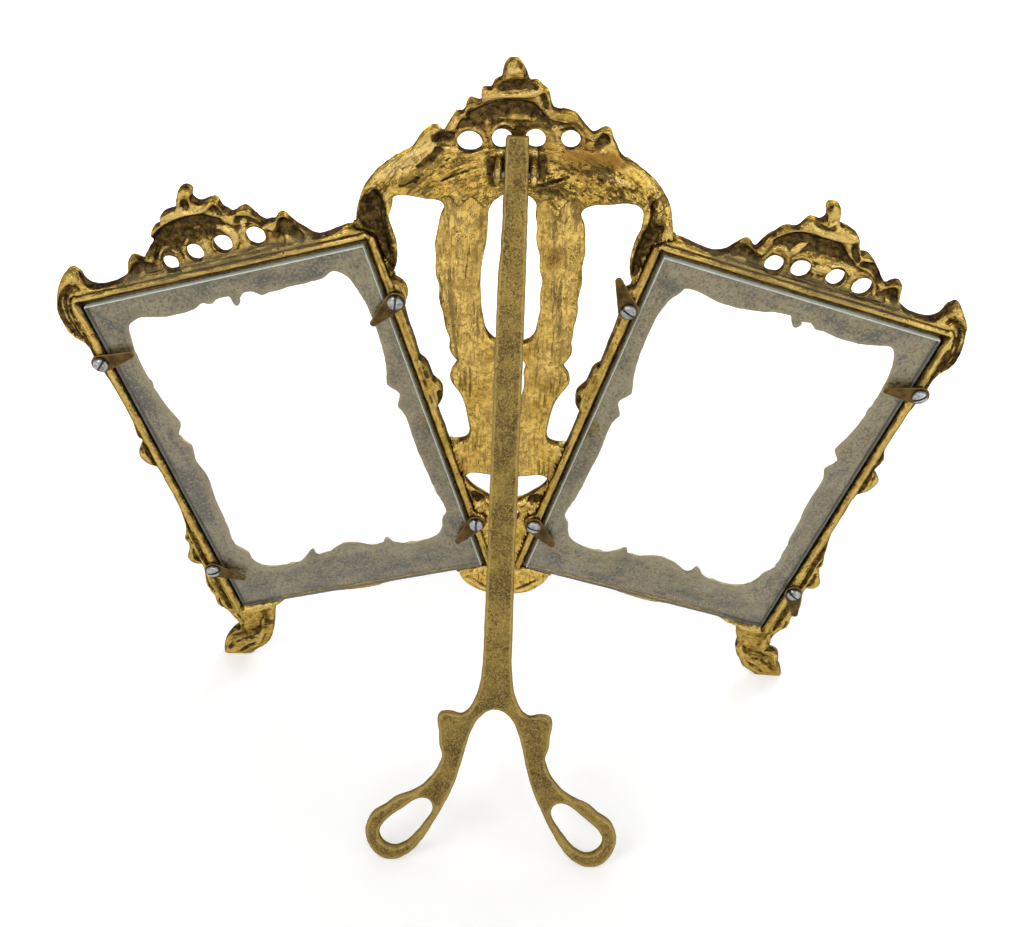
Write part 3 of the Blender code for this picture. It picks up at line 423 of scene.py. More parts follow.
CENTRE_BACK = strokes_of("""
    0.9 -0.5: 6 93.4 0.6, 10 94.6, 14.4 96.4 0.5;
    0.8 -0.4: 21 92 0.5, 24.4 90.6 0.6;
    1.4 0.4: 17 99.6 0.5, 24 97.6, 33 94 0.5;
    0.8 -0.4: -20.6 93.8 0.5, -17 95.6, -13.4 97 0.5;
    0.9 -0.45: -31.6 91.6 0.6, -28.4 93.6 0.6;
    1.6 0.45: -38 95.6 0.5, -31 99.6, -24 103.6 0.5;
    0.6 -0.35: -12.6 74 0.5, -13.4 68, -14.2 61 0.5;
    0.5 -0.35: -11.4 73 0.5, -11.8 67, -12 63.4 0.5;
    1.1 0.5: -23.6 102.4, -22 107;
    0.9 0.7: 23 104.2, 24 104.4;
    1.1 0.8: 8.4 -25.8, 8.6 -26;
    1.1 0.8: -8.4 -25.8, -8.6 -26;
    1 0.7: 8.4 -29.2, 8.6 -29.4;
    1 0.7: -8.4 -29.2, -8.6 -29.4;
    1 0.5: 0 -23.2, 5.6 -22.2, 9 -17.6;
    1 0.5: 0 -23.2, -5.6 -22.2, -9 -17.6;
    1.2 0.5: -12 -58, -6 -62.2, 0 -63.2, 6 -62.2, 12 -58
""")

# Stained and creased places, some of them painted shade or painted highlights: the mask, width to
# each side, how strong, and the line
CREST_STAINS = {
    "right": stains_of(
        film="""
            3.4 1: -16.6 8.6 0.6, -11 12.6, -4 14.2, 2 14, 7 12.4 0.6;
            3 0.8: -18 7.6 0.8, -8 9.6, 0 10, 9.6 10.4, 11 12 0.6;
            3 0.9: -26 2.8 0.7, -22.4 4.6, -19 3.6;
            3.2 1: 20.6 5.4 0.6, 24 8, 26 4.6, 28 3 0.6;
            1.7 1: -1.4 19.8, -1.2 20.8;
            1.6 0.8: 11.4 12.4, 14 12.2, 17.6 9.4;
            1.5 0.9: 5.6 17, 7.4 15.6;
            2.4 1: -14 0.8, -11 0.6 0.7
        """,
        rubbed="""
            1.6 0.9: -12 16.2 0.6, -6 18.4, -1 18.6, 2 18.4 0.6;
            1.8 0.9: 4.4 11 0.5, 7.4 9.8, 8.6 7, 7.4 4.2 0.5;
            1.5 0.7: -0.9 4.2, -0.6 8;
            1.3 0.8: -7.4 4, -7 7.6;
            1.3 0.8: 11.2 4, 11.4 8.4, 13 11.4
        """,
        amber="""
            2.6 0.7: 17 6, 20 5
        """,
    ),
    "left": stains_of(
        film="""
            3.1 0.85: -15.4 10.4 0.6, -9.6 13.4, -3 13.8, 2.4 13.6, 5 12.2 0.6;
            2.2 0.25: -18 7.4 0.8, -9 10.4, 0 10.6, 8.6 10.2 0.6;
            2.6 0.8: -26.6 3 0.7, -22.6 4.6, -19 3.4;
            2.6 0.55: 19.6 4.4 0.6, 23.4 5.8, 26 3.4 0.6;
            1.7 1: 6 16.6, 7.2 14.4, 9 12.4;
            1.9 0.85: 10.8 12, 14.8 12, 18 8.6;
            1.4 0.9: -5.9 24.6, -5.6 25.6;
            1.4 0.8: -8 20, -5 18.8, -2 19.4
        """,
        rubbed="""
            2.2 0.9: -2 5.4 0.6, 0.6 6.2, 2.6 6.6 0.6;
            1.5 0.9: -9 9.4, -6.4 12.4 0.5;
            1.3 0.8: 3.2 8.4 0.6, 6 9.7, 9.6 7.8 0.7;
            1.6 0.8: -14 15.8 0.6, -8 17.2, 0 18, 6 19.4 0.6
        """,
        amber="""
            2.4 0.6: 12 9.6, 17 6.6
        """,
    ),
    "centre": stains_of(
        film="""
            3.2 1: -8 12.6 0.6, -2 13.4, 3 13, 6.6 11.4 0.6;
            4 0.75: -15 9 0.8, -8 9.6, 0 8.8, 8 9.6, 18 7.6 0.6;
            2.6 1: -4 18.8 0.8, 0 19.2, 4.4 19.2 0.7;
            2.8 0.95: -22.4 3.6 0.7, -18.6 4.8;
            2.6 0.9: 22.4 3.6 0.8, 24 5.4;
            1.6 0.95: 6.6 16.8, 7.4 13.6;
            1.3 1: 0 26, 0.6 24.4;
            1.2 1: -4.2 21.4, -3.6 25.4, -1.5 26.9, 0.9 25.4, 1.8 22
        """,
        rubbed="""
            1.5 1: -11.4 14.6 0.6, -4 16.7, 0 17, 5.4 17.9 0.7;
            1.5 1: -2 23.4, -1.6 23.8;
            1.8 0.8: 10.4 3.6, 10.4 7.4;
            2.6 0.8: -27 -1.6, -24.4 2.4
        """,
        amber="""
            2.4 0.8: -11 10.4, -7 10.8
        """,
    ),
}

FRAME_STAINS = stains_of(
    greyed="""
        3 1: -30 69, -15 68.8, 0 68.8, 15 68.8, 30 69
    """,
    # Among the film strokes, those along the edges of the glass paint the shade in the gap between
    # glass and rim
    film="""
        2 0.45: -27 69.2, 0 69, 27 69.2;
        2.8 0.45: 44 71 0.6, 49 67.6, 51 62, 50.4 55 0.6;
        3.2 0.22: 42 -76 0.6, 47 -78.4, 53 -79.4, 57 -83 0.6;
        3.4 0.4: 37 -66, 38.6 -72, 42 -78 0.6;
        0.7 0.9: -45 67.5, 0 67.5, 45 67.5;
        1.4 0.85: 48.9 65, 48.9 50, 48.9 0, 49.3 -40, 49.6 -64;
        0.9 1: 45.5 66, 45.5 -66;
        0.9 0.9: -45.3 66, -45.3 -66;
        0.8 1: -46 65.3, 46 65.3;
        1.5 0.7: 52 -36, 51.6 -40;
        1 0.85: -48.4 60, -48.5 38, -48.7 16;
        1.5 0.95: -50.5 9.4, -49.7 4.8;
        0.9 0.75: -48.3 0, -48.3 -60
    """,
    # The stroke along the rim's ridge paints a highlight on the worn gold
    rubbed="""
        0.8 0.7: -46 66.4, 0 66.5, 46 66.4
    """,
)

# Blue-grey patches of the lip behind the glass
LIP_STAINS = {
    "right": stains_of(
        greyed="""
            5 1: 43 36 0.6, 42 20, 41 4, 41 -14, 41 -26 0.4;
            2.6 0.7: 12 -59.6 0.5, 2 -58, -6 -59.6 0.5;
            2.4 0.6: -12 58.6, -9 57.4;
            9 0.35: -40 -58, 0 -60, 40 -56;
            7 0.3: -40 60, 0 60, 40 58
        """,
    ),
    "left": stains_of(
        greyed="""
            1.8 1: 37.6 5.4 0.7, 37.4 -1, 37.4 -7 0.5;
            1.8 0.9: 38.4 -20 0.6, 38 -25, 38.6 -30 0.5;
            3 0.8: 31 58.6 0.6, 35.4 57, 38 52 0.6;
            2.2 0.7: -8.6 58, -7 56.6;
            2 0.8: 14.4 56.8, 15.6 56.6;
            2.6 0.7: -36 -61 0.6, -30 -60.4, -8 -62 0.5;
            3 0.5: 27 -60 0.5, 34 -58
        """,
    ),
}

CENTRE_STAINS = stains_of(
    film="""
        2.8 0.7: 6.4 103, 7.4 98, 7.8 94 0.7;
        3.2 0.5: 6 93, 9 91, 13 90 0.5;
        2 0.65: -7.4 103, -7 97, -6.4 94;
        1.4 0.7: 6 93.4, 10 94.6, 14.4 96.4 0.5;
        9 1.25: -41 83 0.9, -40 78, -38 70 0.8, -37 62 0.7;
        3 1: -39 82, -38.4 74, -37 66;
        6.6 1.15: 38.6 81 0.6, 38 75, 36 68, 35.2 62 0.8;
        2.6 1: 37.4 78, 36 70, 35 64;
        2.2 0.7: -27 98 0.6, -22.6 102, -20 104 0.6;
        1.8 0.7: -32 91.8 0.6, -29.4 92.6, -27 94.6 0.6;
        2.2 0.45: 22 91 0.6, 28 93, 34 93 0.6;
        2.8 0.9: 8.6 -20, 11.4 -20.6;
        2.8 0.9: -8.6 -20, -11.4 -20.6;
        5 0.6: 0 -44, 0 -58
    """,
    # Worn gold, with a painted highlight down each hinge ear
    rubbed="""
        1.1 1: -4.4 103.6, -4.6 96.6;
        1.1 1: 4.9 103.6, 4.9 96.6;
        4.6 0.9: -38 95 0.6, -33 98, -25 103 0.6;
        1.8 0.8: 17 99.6 0.6, 24 97.4, 31 95 0.6;
        9 0.3: -15 84, -16 60, -13 34;
        9 0.3: 14 84, 16 60, 13 34;
        12 0.25: 0 24, 0 -6
    """,
    amber="""
        15 0.55: -12 108 0.7, 0 116, 12 108 0.7;
        5 0.5: 0 124, 0 128;
        6.5 1: 16 103.4, 20 101, 30 101.6 0.5;
        3.4 0.7: 12.2 73, 12 69;
        2.4 0.7: -17 -3, -13 -14;
        2.4 0.7: 17 -3, 13 -14
    """,
    crease="""
        9 0.65: -34 95 0.6, -22 97, -12 97, -5 95;
        9 1: 5 96, 14 95, 26 94, 38 91 0.7;
        6 0.6: -24 91 0.6, -10 90;
        9 0.35: -15 84, -16 60, -13 34;
        9 0.35: 14 84, 16 60, 13 34;
        10 0.35: 0 24, 0 -6;
        4 0.8: 10 92, 13 84;
        4.5 0.9: 42 84, 40 92;
        4 0.6: -38 92, -40 88
    """,
)

STRUT_BACK = strokes_of("""
    0.5 -0.25: 1.5 -3.6, 0.7 -2.8, -0.1 -3.6, 0.7 -4.4, 1.5 -3.6
""")


# The strut's end is square, with small corners
STRUT_PULLS = rows_of("""
    -2.5 9.8 2 -0.2 0.2, 2.5 9.8 2 0.6 0.2, -3.4 3 3.6 0.5 0, -3.5 -4 4 0.5 0, -3.6 -12 4.4 0.5 0,
    -3.7 -20 4.4 0.4 0
""")


def panel_place():
    """From the panel's own plane to where it stands."""
    stand = Matrix.Translation((0.0, PANEL_DEPTH * MM, PANEL_RISE * MM))
    return stand @ Matrix.Rotation(pi, 4, "Z") @ Matrix.Rotation(radians(90 + LEAN), 4, "X")


def frame_place(side):
    """From a glazed frame's own plane to where it stands."""
    middle = Matrix.Translation((side * FRAME_OUT * MM, FRAME_UP * MM, 0.0))
    return panel_place() @ middle @ Matrix.Rotation(radians(-side * FRAME_TILT), 4, "Z")


def strut_place():
    """From the strut's own plane, with the hinge pin at zero, to where it stands."""
    pin = Matrix.Translation((0.0, PIN_UP * MM, PIN_OUT * MM))
    return panel_place() @ pin @ Matrix.Rotation(radians(-STRUT_OPEN), 4, "X")


def show(name, data):
    made = bpy.data.objects.new(name, data)
    bpy.context.scene.collection.objects.link(made)
    return made


def apply_modifiers(thing):
    """The finished mesh of an object, which is then removed."""
    graph = bpy.context.evaluated_depsgraph_get()
    mesh = bpy.data.meshes.new_from_object(thing.evaluated_get(graph))
    mesh.name = thing.name
    bpy.data.objects.remove(thing)
    return mesh


def to_mesh(shape, name):
    mesh = bpy.data.meshes.new(name)
    shape.to_mesh(mesh)
    shape.free()
    return mesh


def remeshed(mesh, grain):
    """The same shape in small even faces."""
    blank = show(mesh.name, mesh)
    skin = blank.modifiers.new("skin", "REMESH")
    skin.mode = "VOXEL"
    skin.voxel_size = grain * MM
    return apply_modifiers(blank)


def even_skin(node, place, grain):
    """A solid's shape in small even faces, in the casting's own plane, ready for carving."""
    shape = bmesh.new()
    shape.from_mesh(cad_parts[node].data)
    bmesh.ops.remove_doubles(shape, verts=shape.verts, dist=0.000002)
    bmesh.ops.transform(shape, matrix=place.inverted(), verts=shape.verts)
    return remeshed(to_mesh(shape, f"{node}_carved"), grain)


def smooth_line(points, steps=5):
    """Points of x, y and width share along a smooth line through the drawn ones."""
    drawn = np.array([(*point, 1.0)[:3] for point in points], float)
    padded = np.vstack([2 * drawn[0] - drawn[1], drawn, 2 * drawn[-1] - drawn[-2]])
    padded[0, 2], padded[-1, 2] = drawn[0, 2], drawn[-1, 2]
    run = [drawn[0]]
    for index in range(1, len(padded) - 2):
        before, start, end, after = padded[index - 1:index + 3]
        for share in np.linspace(0.0, 1.0, steps + 1)[1:]:
            run.append(0.5 * (
                2 * start + (end - before) * share
                + (2 * before - 5 * start + 4 * end - after) * share ** 2
                + (3 * start - before - 3 * end + after) * share ** 3
            ))
    return np.array(run)


def nearness(spots, width, points):
    """From 1 on a drawn line down to 0 at its width, for every spot."""
    near = np.zeros(len(spots))
    line = smooth_line(points)
    low = line[:, :2].min(axis=0) - width
    high = line[:, :2].max(axis=0) + width
    inside = np.flatnonzero(np.all((spots > low) & (spots < high), axis=1))
    close = spots[inside]
    best = np.full(len(close), 9.0)
    for start, end in zip(line, line[1:]):
        along = end[:2] - start[:2]
        share = np.clip((close - start[:2]) @ along / max(along @ along, 1e-9), 0.0, 1.0)
        away = close - start[:2] - share[:, None] * along
        reach = width * (start[2] + (end[2] - start[2]) * share)
        best = np.minimum(best, np.hypot(*away.T) / np.maximum(reach, 1e-6))
    near[inside] = (1.0 - np.clip(best, 0.0, 1.0) ** 2) ** 2
    return near


def relief(spots, strokes):
    """How far each spot rises or sinks under the carved lines."""
    raised = np.zeros(len(spots))
    sunk = np.zeros(len(spots))
    for width, height, points in strokes:
        lift = height * nearness(spots, width, points)
        raised = np.maximum(raised, lift)
        sunk = np.minimum(sunk, lift)
    return raised + sunk


def shifted(strokes, across=0.0, up=0.0, side=1):
    """The same lines moved, or turned to the other side."""
    return [
        (*stroke[:-1], [(side * x + across, y + up, *share) for x, y, *share in stroke[-1]])
        for stroke in strokes
    ]


def both(strokes):
    """The drawn lines together with their mirror image."""
    return strokes + shifted(strokes, side=-1)


def shallower(strokes):
    """The crest's depths on the thinner casting of the centre panel."""
    return [(width, depth * 0.75, points) for width, depth, points in strokes]


def read_points(mesh):
    spots = np.empty(len(mesh.vertices) * 3)
    mesh.vertices.foreach_get("co", spots)
    return spots.reshape(-1, 3) / MM


def write_points(mesh, spots):
    mesh.vertices.foreach_set("co", (spots * MM).ravel())
    mesh.update()


def read_normals(mesh):
    normals = np.empty(len(mesh.vertices) * 3)
    mesh.vertex_normals.foreach_get("vector", normals)
    return normals.reshape(-1, 3)


def read_edges(mesh):
    ends = np.empty(len(mesh.edges) * 2, np.int32)
    mesh.edges.foreach_get("vertices", ends)
    return ends.reshape(-1, 2)


def even_out(values, ends, rounds, pull=1.0):
    """Draws every point's values towards the mean of its neighbours'."""
    count = len(values)
    links = np.bincount(ends.ravel(), minlength=count)[:, None]
    for _ in range(rounds):
        total = np.stack([
            np.bincount(ends[:, 0], column[ends[:, 1]], count)
            + np.bincount(ends[:, 1], column[ends[:, 0]], count)
            for column in values.T
        ], axis=1)
        values = values + pull * (total / links - values)
    return values


def ramp(values, low, high):
    share = np.clip((values - low) / (high - low), 0.0, 1.0)
    return share * share * (3 - 2 * share)


def uneven(spots, size, offset=0.0):
    """Soft unevenness between about -1 and 1, with lumps of the given size."""
    return np.array([noise.noise(Vector(spot)) for spot in spots / size + offset]) * 1.6


def store(mesh, name, values):
    mask = mesh.attributes.new(name, "FLOAT", "POINT")
    mask.data.foreach_set("value", np.clip(values, 0.0, 1.0))


def bend(spots, pulls, reaming):
    """Moves the metal near each pull, and opens the bores at the places in reaming."""
    moved = np.zeros((len(spots), 2))
    weight = np.zeros(len(spots))
    for x, y, reach, across, up in pulls:
        near = np.exp(-((spots[:, 0] - x) ** 2 + (spots[:, 1] - y) ** 2) / reach ** 2)
        moved += near[:, None] * (across, up)
        weight += near
    moved /= np.maximum(weight, 1.0)[:, None]
    for x, y, growth in reaming:
        away = spots[:, :2] - (x, y)
        reach = np.maximum(np.hypot(*away.T), 0.1)
        near = growth * np.exp(-((reach - HOLE_RADIUS) / BORE_REACH) ** 2)
        moved += near[:, None] * away / reach[:, None]
    spots[:, :2] += moved


def level_off(spots, casting):
    """Fills low places up, and dishes high ones out, to a depth below the back face.

    The hollows do the same on the front, to a height above the front face.
    """
    behind = ramp(spots[:, 2] - casting["front"], *BEHIND)
    for strokes, sign in ((casting["fills"], 1.0), (casting["dishes"], -1.0)):
        for width, level, points in strokes:
            near = np.minimum(nearness(spots[:, :2], width, points) * 2.0, 1.0) * behind
            gap = np.maximum(sign * (casting["back"] + level - spots[:, 2]), 0.0)
            spots[:, 2] += sign * near * gap
    for width, height, points in casting["hollows"]:
        near = np.minimum(nearness(spots[:, :2], width, points) * 2.0, 1.0)
        spots[:, 2] += near * np.maximum(casting["front"] + height - spots[:, 2], 0.0)


def carve(mesh, casting):
    """Shapes the back and the front of a casting's skin and gives it its unevenness."""
    spots = read_points(mesh)
    ends = read_edges(mesh)
    spots = even_out(spots, ends, 2, SOFTENING)
    bend(spots, casting["pulls"], casting["reaming"])
    level_off(spots, casting)
    spots = even_out(spots, ends, 3, SOFTENING)
    write_points(mesh, spots)
    normals = read_normals(mesh)
    to_back = ramp(normals[:, 2], *FACING)
    to_front = ramp(-normals[:, 2], *FACING)
    spots[:, 2] += to_back * relief(spots[:, :2], casting["back_lines"])
    away = from_edge(spots, normals)
    roll = casting["roll"] * np.exp(-((away - ROLL_AT) / ROLL_WIDTH) ** 2)
    front = relief(spots[:, :2], casting["front_lines"])
    spots[:, 2] -= to_front * np.where(front < 0.0, front, np.maximum(front, roll))
    store(mesh, "rim", (1.0 - ramp(away, *RIM_BAND)) * to_back)
    creased = painted_amount(spots, casting["stains"], "crease") * (normals[:, 2] > -0.2)
    creased *= 1.0 - ramp(spots[:, 2] - casting["back"], *CREASE_TOP)
    torn = 0.5 - abs(uneven(strokes_run(spots, True) * (1.0, 0.55, 1.0), TEAR_SIZE, 5.0))
    lumps = sum(height * uneven(spots, size, start) for height, size, start in LUMPS)
    lumps = lumps + TEAR_DEPTH * creased ** 2 * torn
    spots += normals * (lumps * casting["wobble"])[:, None]
    # The turn clips sweep over the back round their screws
    for x, y in casting["screws"]:
        away = np.hypot(spots[:, 0] - x, spots[:, 1] - y)
        ceiling = CLIP_ROOM + 2.0 * ramp(away, CLIP_LENGTH + 1.0, CLIP_LENGTH + 3.0)
        spots[:, 2] = np.minimum(spots[:, 2], ceiling)
    write_points(mesh, spots)
    return spots, ends


def strokes_run(spots, arched):
    """How far each spot lies across and along the file strokes, which follow the metal.

    On the centre panel they arch over the arms and run down the bars. On a frame they run
    along its rims.
    """
    x, y, z = spots.T
    if arched:
        turned = y > ARCH_FROM + 1.5 * np.sin(0.9 * x)
        across = np.where(turned, np.hypot(x, y - ARCH_MIDDLE), x)
        along = np.where(turned, ARCH_RADIUS * np.arctan2(x, y - ARCH_MIDDLE), y)
    else:
        upright = abs(x) / RIM_OUT > abs(y) / RIM_UP
        across = np.where(upright, x, y)
        along = np.where(upright, y, x)
    return np.stack([across, along, z], axis=1)


def mark_strokes(mesh, spots, arched):
    """Stores the file strokes' coordinates, in metres."""
    run = mesh.attributes.new("run", "FLOAT_VECTOR", "POINT")
    run.data.foreach_set("vector", (strokes_run(spots, arched) * MM).ravel())


def mark_wear_and_painted_light(mesh, spots, ends):
    """Stores how hollow and how proud the skin is at every point, for patina and wear, painted
    shade in the recesses and painted highlights on the ridges.
    """
    normals = read_normals(mesh)
    close = np.sum((even_out(spots, ends, *CLOSE_LOOK) - spots) * normals, axis=1)
    wide = np.sum((even_out(spots, ends, *WIDE_LOOK) - spots) * normals, axis=1)
    store(mesh, "hollow", ramp(close, 0.01, 0.09) * 0.6 + ramp(wide, 0.06, 0.55) * 0.75)
    store(mesh, "proud", ramp(-close, 0.01, 0.10) * 0.7 + ramp(-wide, 0.12, 0.6) * 0.5)


def from_edge(spots, normals):
    """How far each spot lies from the nearest wall of the outline or of a piercing."""
    walls = np.flatnonzero(abs(normals[:, 2]) < WALL_SLOPE)
    tree = kdtree.KDTree(len(walls))
    for index in walls:
        tree.insert((spots[index, 0], spots[index, 1], 0.0), index)
    tree.balance()
    return np.array([tree.find((x, y, 0.0))[2] for x, y, _ in spots])


def fan(x, y, inner, outer, start, end, count, width, height=0.8):
    """Flutes spreading from a point like the ribs of a shell, wider at their outer ends."""
    ribs = []
    for turn in np.radians(np.linspace(start, end, count)):
        ribs.append((width, height, [
            (x + reach * cos(turn), y + reach * sin(turn), share)
            for reach, share in ((inner, 0.35), ((inner + outer) / 2, 0.8), (outer, 1.0))
        ]))
    return ribs


def volute(x, y, radius, start, hand, turns=1.4, width=0.9, height=0.8):
    """A scroll that winds in to its eye."""
    line = []
    for share in np.linspace(0.0, 1.0, 16):
        turn = radians(start) + hand * share * turns * 2 * pi
        reach = radius * (1.0 - 0.80 * share)
        line.append((x + reach * cos(turn), y + reach * sin(turn), 1.0 - 0.4 * share))
    return [(width, height, line), (width * 1.1, height * 1.3, [(x, y), (x + 0.2, y)])]


def leaf(points, spread, lobes, height=0.8):
    """A leaf along a line: rolled side lobes that lean forward, and a sunk middle vein."""
    run = smooth_line(rows_of(points), 8)[:, :2]
    parts = [(spread * 0.8, height * 0.35, [tuple(spot) for spot in run[::4]])]
    for index in range(lobes):
        share = (index + 0.4) / (lobes + 0.6)
        at = int(share * (len(run) - 2))
        along = run[at + 1] - run[at]
        along = along / max(np.hypot(*along), 1e-6)
        across = np.array((-along[1], along[0]))
        size = spread * (0.55 + 0.45 * sin(pi * share))
        for hand in (1, -1):
            root = run[at] + hand * across * 0.2 * spread
            middle = run[at] + along * size * 0.25 + hand * across * size * 0.65
            tip = run[at] + along * size * 0.8 + hand * across * size
            parts.append((spread * 0.36, height, [(*root, 0.6), tuple(middle), (*tip, 0.45)]))
    parts.append((spread * 0.30, height, [(*run[-5], 0.8), (*run[-1], 0.4)]))
    vein = [(*run[0], 0.6), *map(tuple, run[4:-4:4]), (*run[-2], 0.4)]
    parts.append((spread * 0.20, -height * 0.6, vein))
    return parts


def beads(path, pitch, radius, height):
    """A row of beads along straight runs between the points of a path."""
    made = []
    points = [np.array(point) for point in rows_of(path)]
    for start, end in zip(points, points[1:]):
        count = max(1, round(np.hypot(*(end - start)) / pitch))
        for step in range(count):
            x, y = start + (end - start) * (step + 0.5) / count
            made.append((radius, height, [(x, y), (x + 0.05, y)]))
    return made


def crest_front():
    """Shell, scrolls and leaves on the front of a crest."""
    return (
        fan(0.0, 7.0, 4.0, 9.6, 12, 168, 13, 1.15, 0.9)
        + strokes_of("1 0.8: -9.5 9.2, -5 10.6, 0 11, 5 10.8, 9.6 9.4")
        + leaf("-1.6 16.6, -1.6 20, -1.6 23.6", 1.9, 3)
        + leaf("8 12.4, 12.6 11.6, 17 8.4", 2.0, 4)
        + leaf("-11 12, -15 9.4, -18 6.4", 1.8, 4)
        + volute(-22.8, 3.6, 2.6, 300, 1) + volute(24.0, 4.4, 2.7, 240, -1)
        + strokes_of("0.8 0.6: -26 0.6, 0 0.4, 27 0.6")
    )


def frame_front():
    """Beaded moulding, leaves and shells on the front of a glazed frame."""
    edge = """
        -45.05 -60.3, -45.05 61.1, -41.05 65.1, 41.05 65.1, 45.05 61.1, 45.05 -60.3, 41.05 -64.3,
        -41.05 -64.3, -45.05 -60.3
    """
    half = (
        leaf("41.6 61.4, 38.4 58.4, 34.6 56.4, 29 56.4", 2.6, 5)
        + leaf("40.6 59.4, 39.8 54, 39.8 46, 39.6 38", 1.9, 7)
        + leaf("28 57.6, 20 57.4, 11 57", 2.0, 6)
        + leaf("40.4 -60.4, 37.6 -56, 34.4 -52.6", 3.0, 4)
        + leaf("40.8 -58.4, 39.8 -50, 40 -40, 39.9 -28", 1.9, 9)
        + leaf("35 -58.4, 28 -58, 20 -57.4", 2.2, 6)
        + volute(15.2, -55.6, 3.2, 200, -1) + volute(39.6, 31.0, 1.9, 90, 1)
        + leaf("39.9 28, 40 20, 39.4 14", 1.7, 5)
        + volute(38.9, 8.8, 2.2, 90, -1)
        + leaf("39.6 -22, 39.8 -12, 39.4 2", 1.7, 7)
    )
    return (
        beads(edge, 3.3, 1.6, 0.55)
        + both(half + strokes_of("1.1 0.7: 9.6 -54.4, 12 -52.6, 18.4 -52.6, 22.6 -51.4"))
        + fan(0.0, -62.2, 3.0, 11.6, 35, 145, 7, 1.3)
        + fan(0.0, 62.6, 2.0, 8.4, 222, 318, 5, 1.2)
    )


def frame_side_front():
    """Leaves on a frame's horn, outer side and foot."""
    return (
        leaf("43.4 72.6, 47.6 70, 51 65.6, 52 60, 50.8 54", 2.0, 7)
        + volute(43.4, 72.4, 1.7, 60, 1)
        + volute(50.2, 9.0, 1.7, 120, 1) + leaf("50 -20, 51 -28, 51.6 -36", 1.5, 5)
        + volute(52.6, -39.4, 2.2, 60, -1)
        + leaf("51 -46, 52.2 -52, 51.6 -60", 1.8, 5)
        + leaf("44.6 -68.6, 46.4 -75, 51 -80.6, 56.4 -84.6", 3.2, 6, 0.9)
        + volute(57.0, -84.4, 2.8, 200, 1)
    )


def centre_front():
    """Shell, scrolls, reeded bars and hanging leaves on the front of the centre panel."""
    half = (
        leaf("29 101, 36.4 96.4, 41.2 90, 42.8 82", 2.8, 7)
        + volute(17.4, 97.0, 5.0, 250, 1, 1.7, 1.1) + leaf("22.6 93.6, 28 92.6, 34 92.6", 2.4, 4)
        + strokes_of("""
            0.8 0.7: 11.6 86, 11.9 70, 12.2 54, 10.4 44;
            1.2 0.8: 14.9 86, 15.2 70, 15.4 54, 13.6 42;
            0.8 0.7: 18 85, 18.5 70, 18.2 54, 16.4 42
        """)
        + volute(13.4, 37.4, 3.2, 90, -1) + volute(14.0, 28.4, 3.4, 270, 1)
        + leaf("9.4 26, 9.6 16, 8.8 4", 2.6, 6)
        + leaf("3 -4.6, 9 -4.8, 17 -2", 2.8, 5)
        + volute(9.6, -22.4, 2.8, 200, -1)
    )
    return (
        both(half)
        + fan(0.0, 93.4, 3.0, 8.2, -8, 188, 13, 1.1, 0.9)
        + beads("15 84, 15.4 50", 3.4, 1.3, 1.1) + beads("-15 84, -15.4 50", 3.4, 1.3, 1.1)
        + fan(0.0, 38.2, 0.6, 3.0, 0, 315, 8, 0.8)
        + fan(0.0, -44.0, 4.0, 18.0, 222, 318, 9, 1.6, 1.0)
        + leaf("0 13.4, 0 6, 0 -3, 0 -9", 4.4, 5, 0.9)
    )


def painted_amount(spots, stains, name):
    """How strongly a mask is painted at every spot."""
    amount = np.zeros(len(spots))
    for mask, width, strength, points in stains:
        if mask == name:
            near = np.minimum(nearness(spots[:, :2], width, points) * 1.5, 1.0)
            amount = np.maximum(amount, strength * near)
    return amount


def mark_stains(mesh, spots, stains):
    """Stores the painted masks of the back, which run round the edges a little way."""
    upright = read_normals(mesh)[:, 2]
    for name in ("film", "amber", "crease", "greyed", "rubbed"):
        store(mesh, name, painted_amount(spots, stains, name) * ramp(upright, -0.3, 0.3))
    # How much each point faces sideways: the brass darkens these walls, partly patina and partly
    # painted shade
    store(mesh, "flank", 1.0 - ramp(abs(upright), 0.35, 0.8))


def mark_lip(mesh, spots):
    """Stores which part of the skin lies under the glass."""
    depth = ramp(LIP_BACK - spots[:, 2], -LIP_EASE, -LIP_EASE + 0.5)
    across = ramp(PANE_WIDTH / 2 + LIP_EASE - abs(spots[:, 0]), 0.0, LIP_EASE)
    up = ramp(PANE_HEIGHT / 2 + LIP_EASE - abs(spots[:, 1]), 0.0, LIP_EASE)
    rear = ramp(read_normals(mesh)[:, 2], -0.25, 0.1)
    store(mesh, "lip", depth * across * up * rear)


def close_joints(mesh, neighbours):
    """Pushes a casting's skin across the hair gap into the castings that it is brazed to."""
    tree = kdtree.KDTree(sum(len(other.vertices) for other in neighbours))
    for other in neighbours:
        for vert in other.vertices:
            tree.insert(vert.co, vert.index)
    tree.balance()
    pushes = []
    for vert in mesh.vertices:
        spot, _, away = tree.find(vert.co)
        facing = (spot - vert.co).dot(vert.normal) > JOINT_FACING * away
        if away < JOINT_REACH * MM and facing:
            ease = 1.0 - (away / (JOINT_REACH * MM)) ** 4
            pushes.append((vert.index, vert.normal * (away + JOINT_BITE * MM) * ease))
    for index, push in pushes:
        mesh.vertices[index].co += push
    mesh.update()


def seat(mesh, place):
    """Turns a carved mesh to its place, kept inside the solid model's box."""
    mesh.transform(place)
    low, high = (np.array(corner) / MM for corner in solid_box)
    write_points(mesh, np.clip(read_points(mesh), low, high))


def finish_piece(name, mesh, material, body, slot, *nodes):
    piece = show(name, mesh)
    mesh.materials.clear()
    mesh.materials.append(material)
    mesh.shade_smooth()
    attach(piece, body)
    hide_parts(*nodes)
    return piece


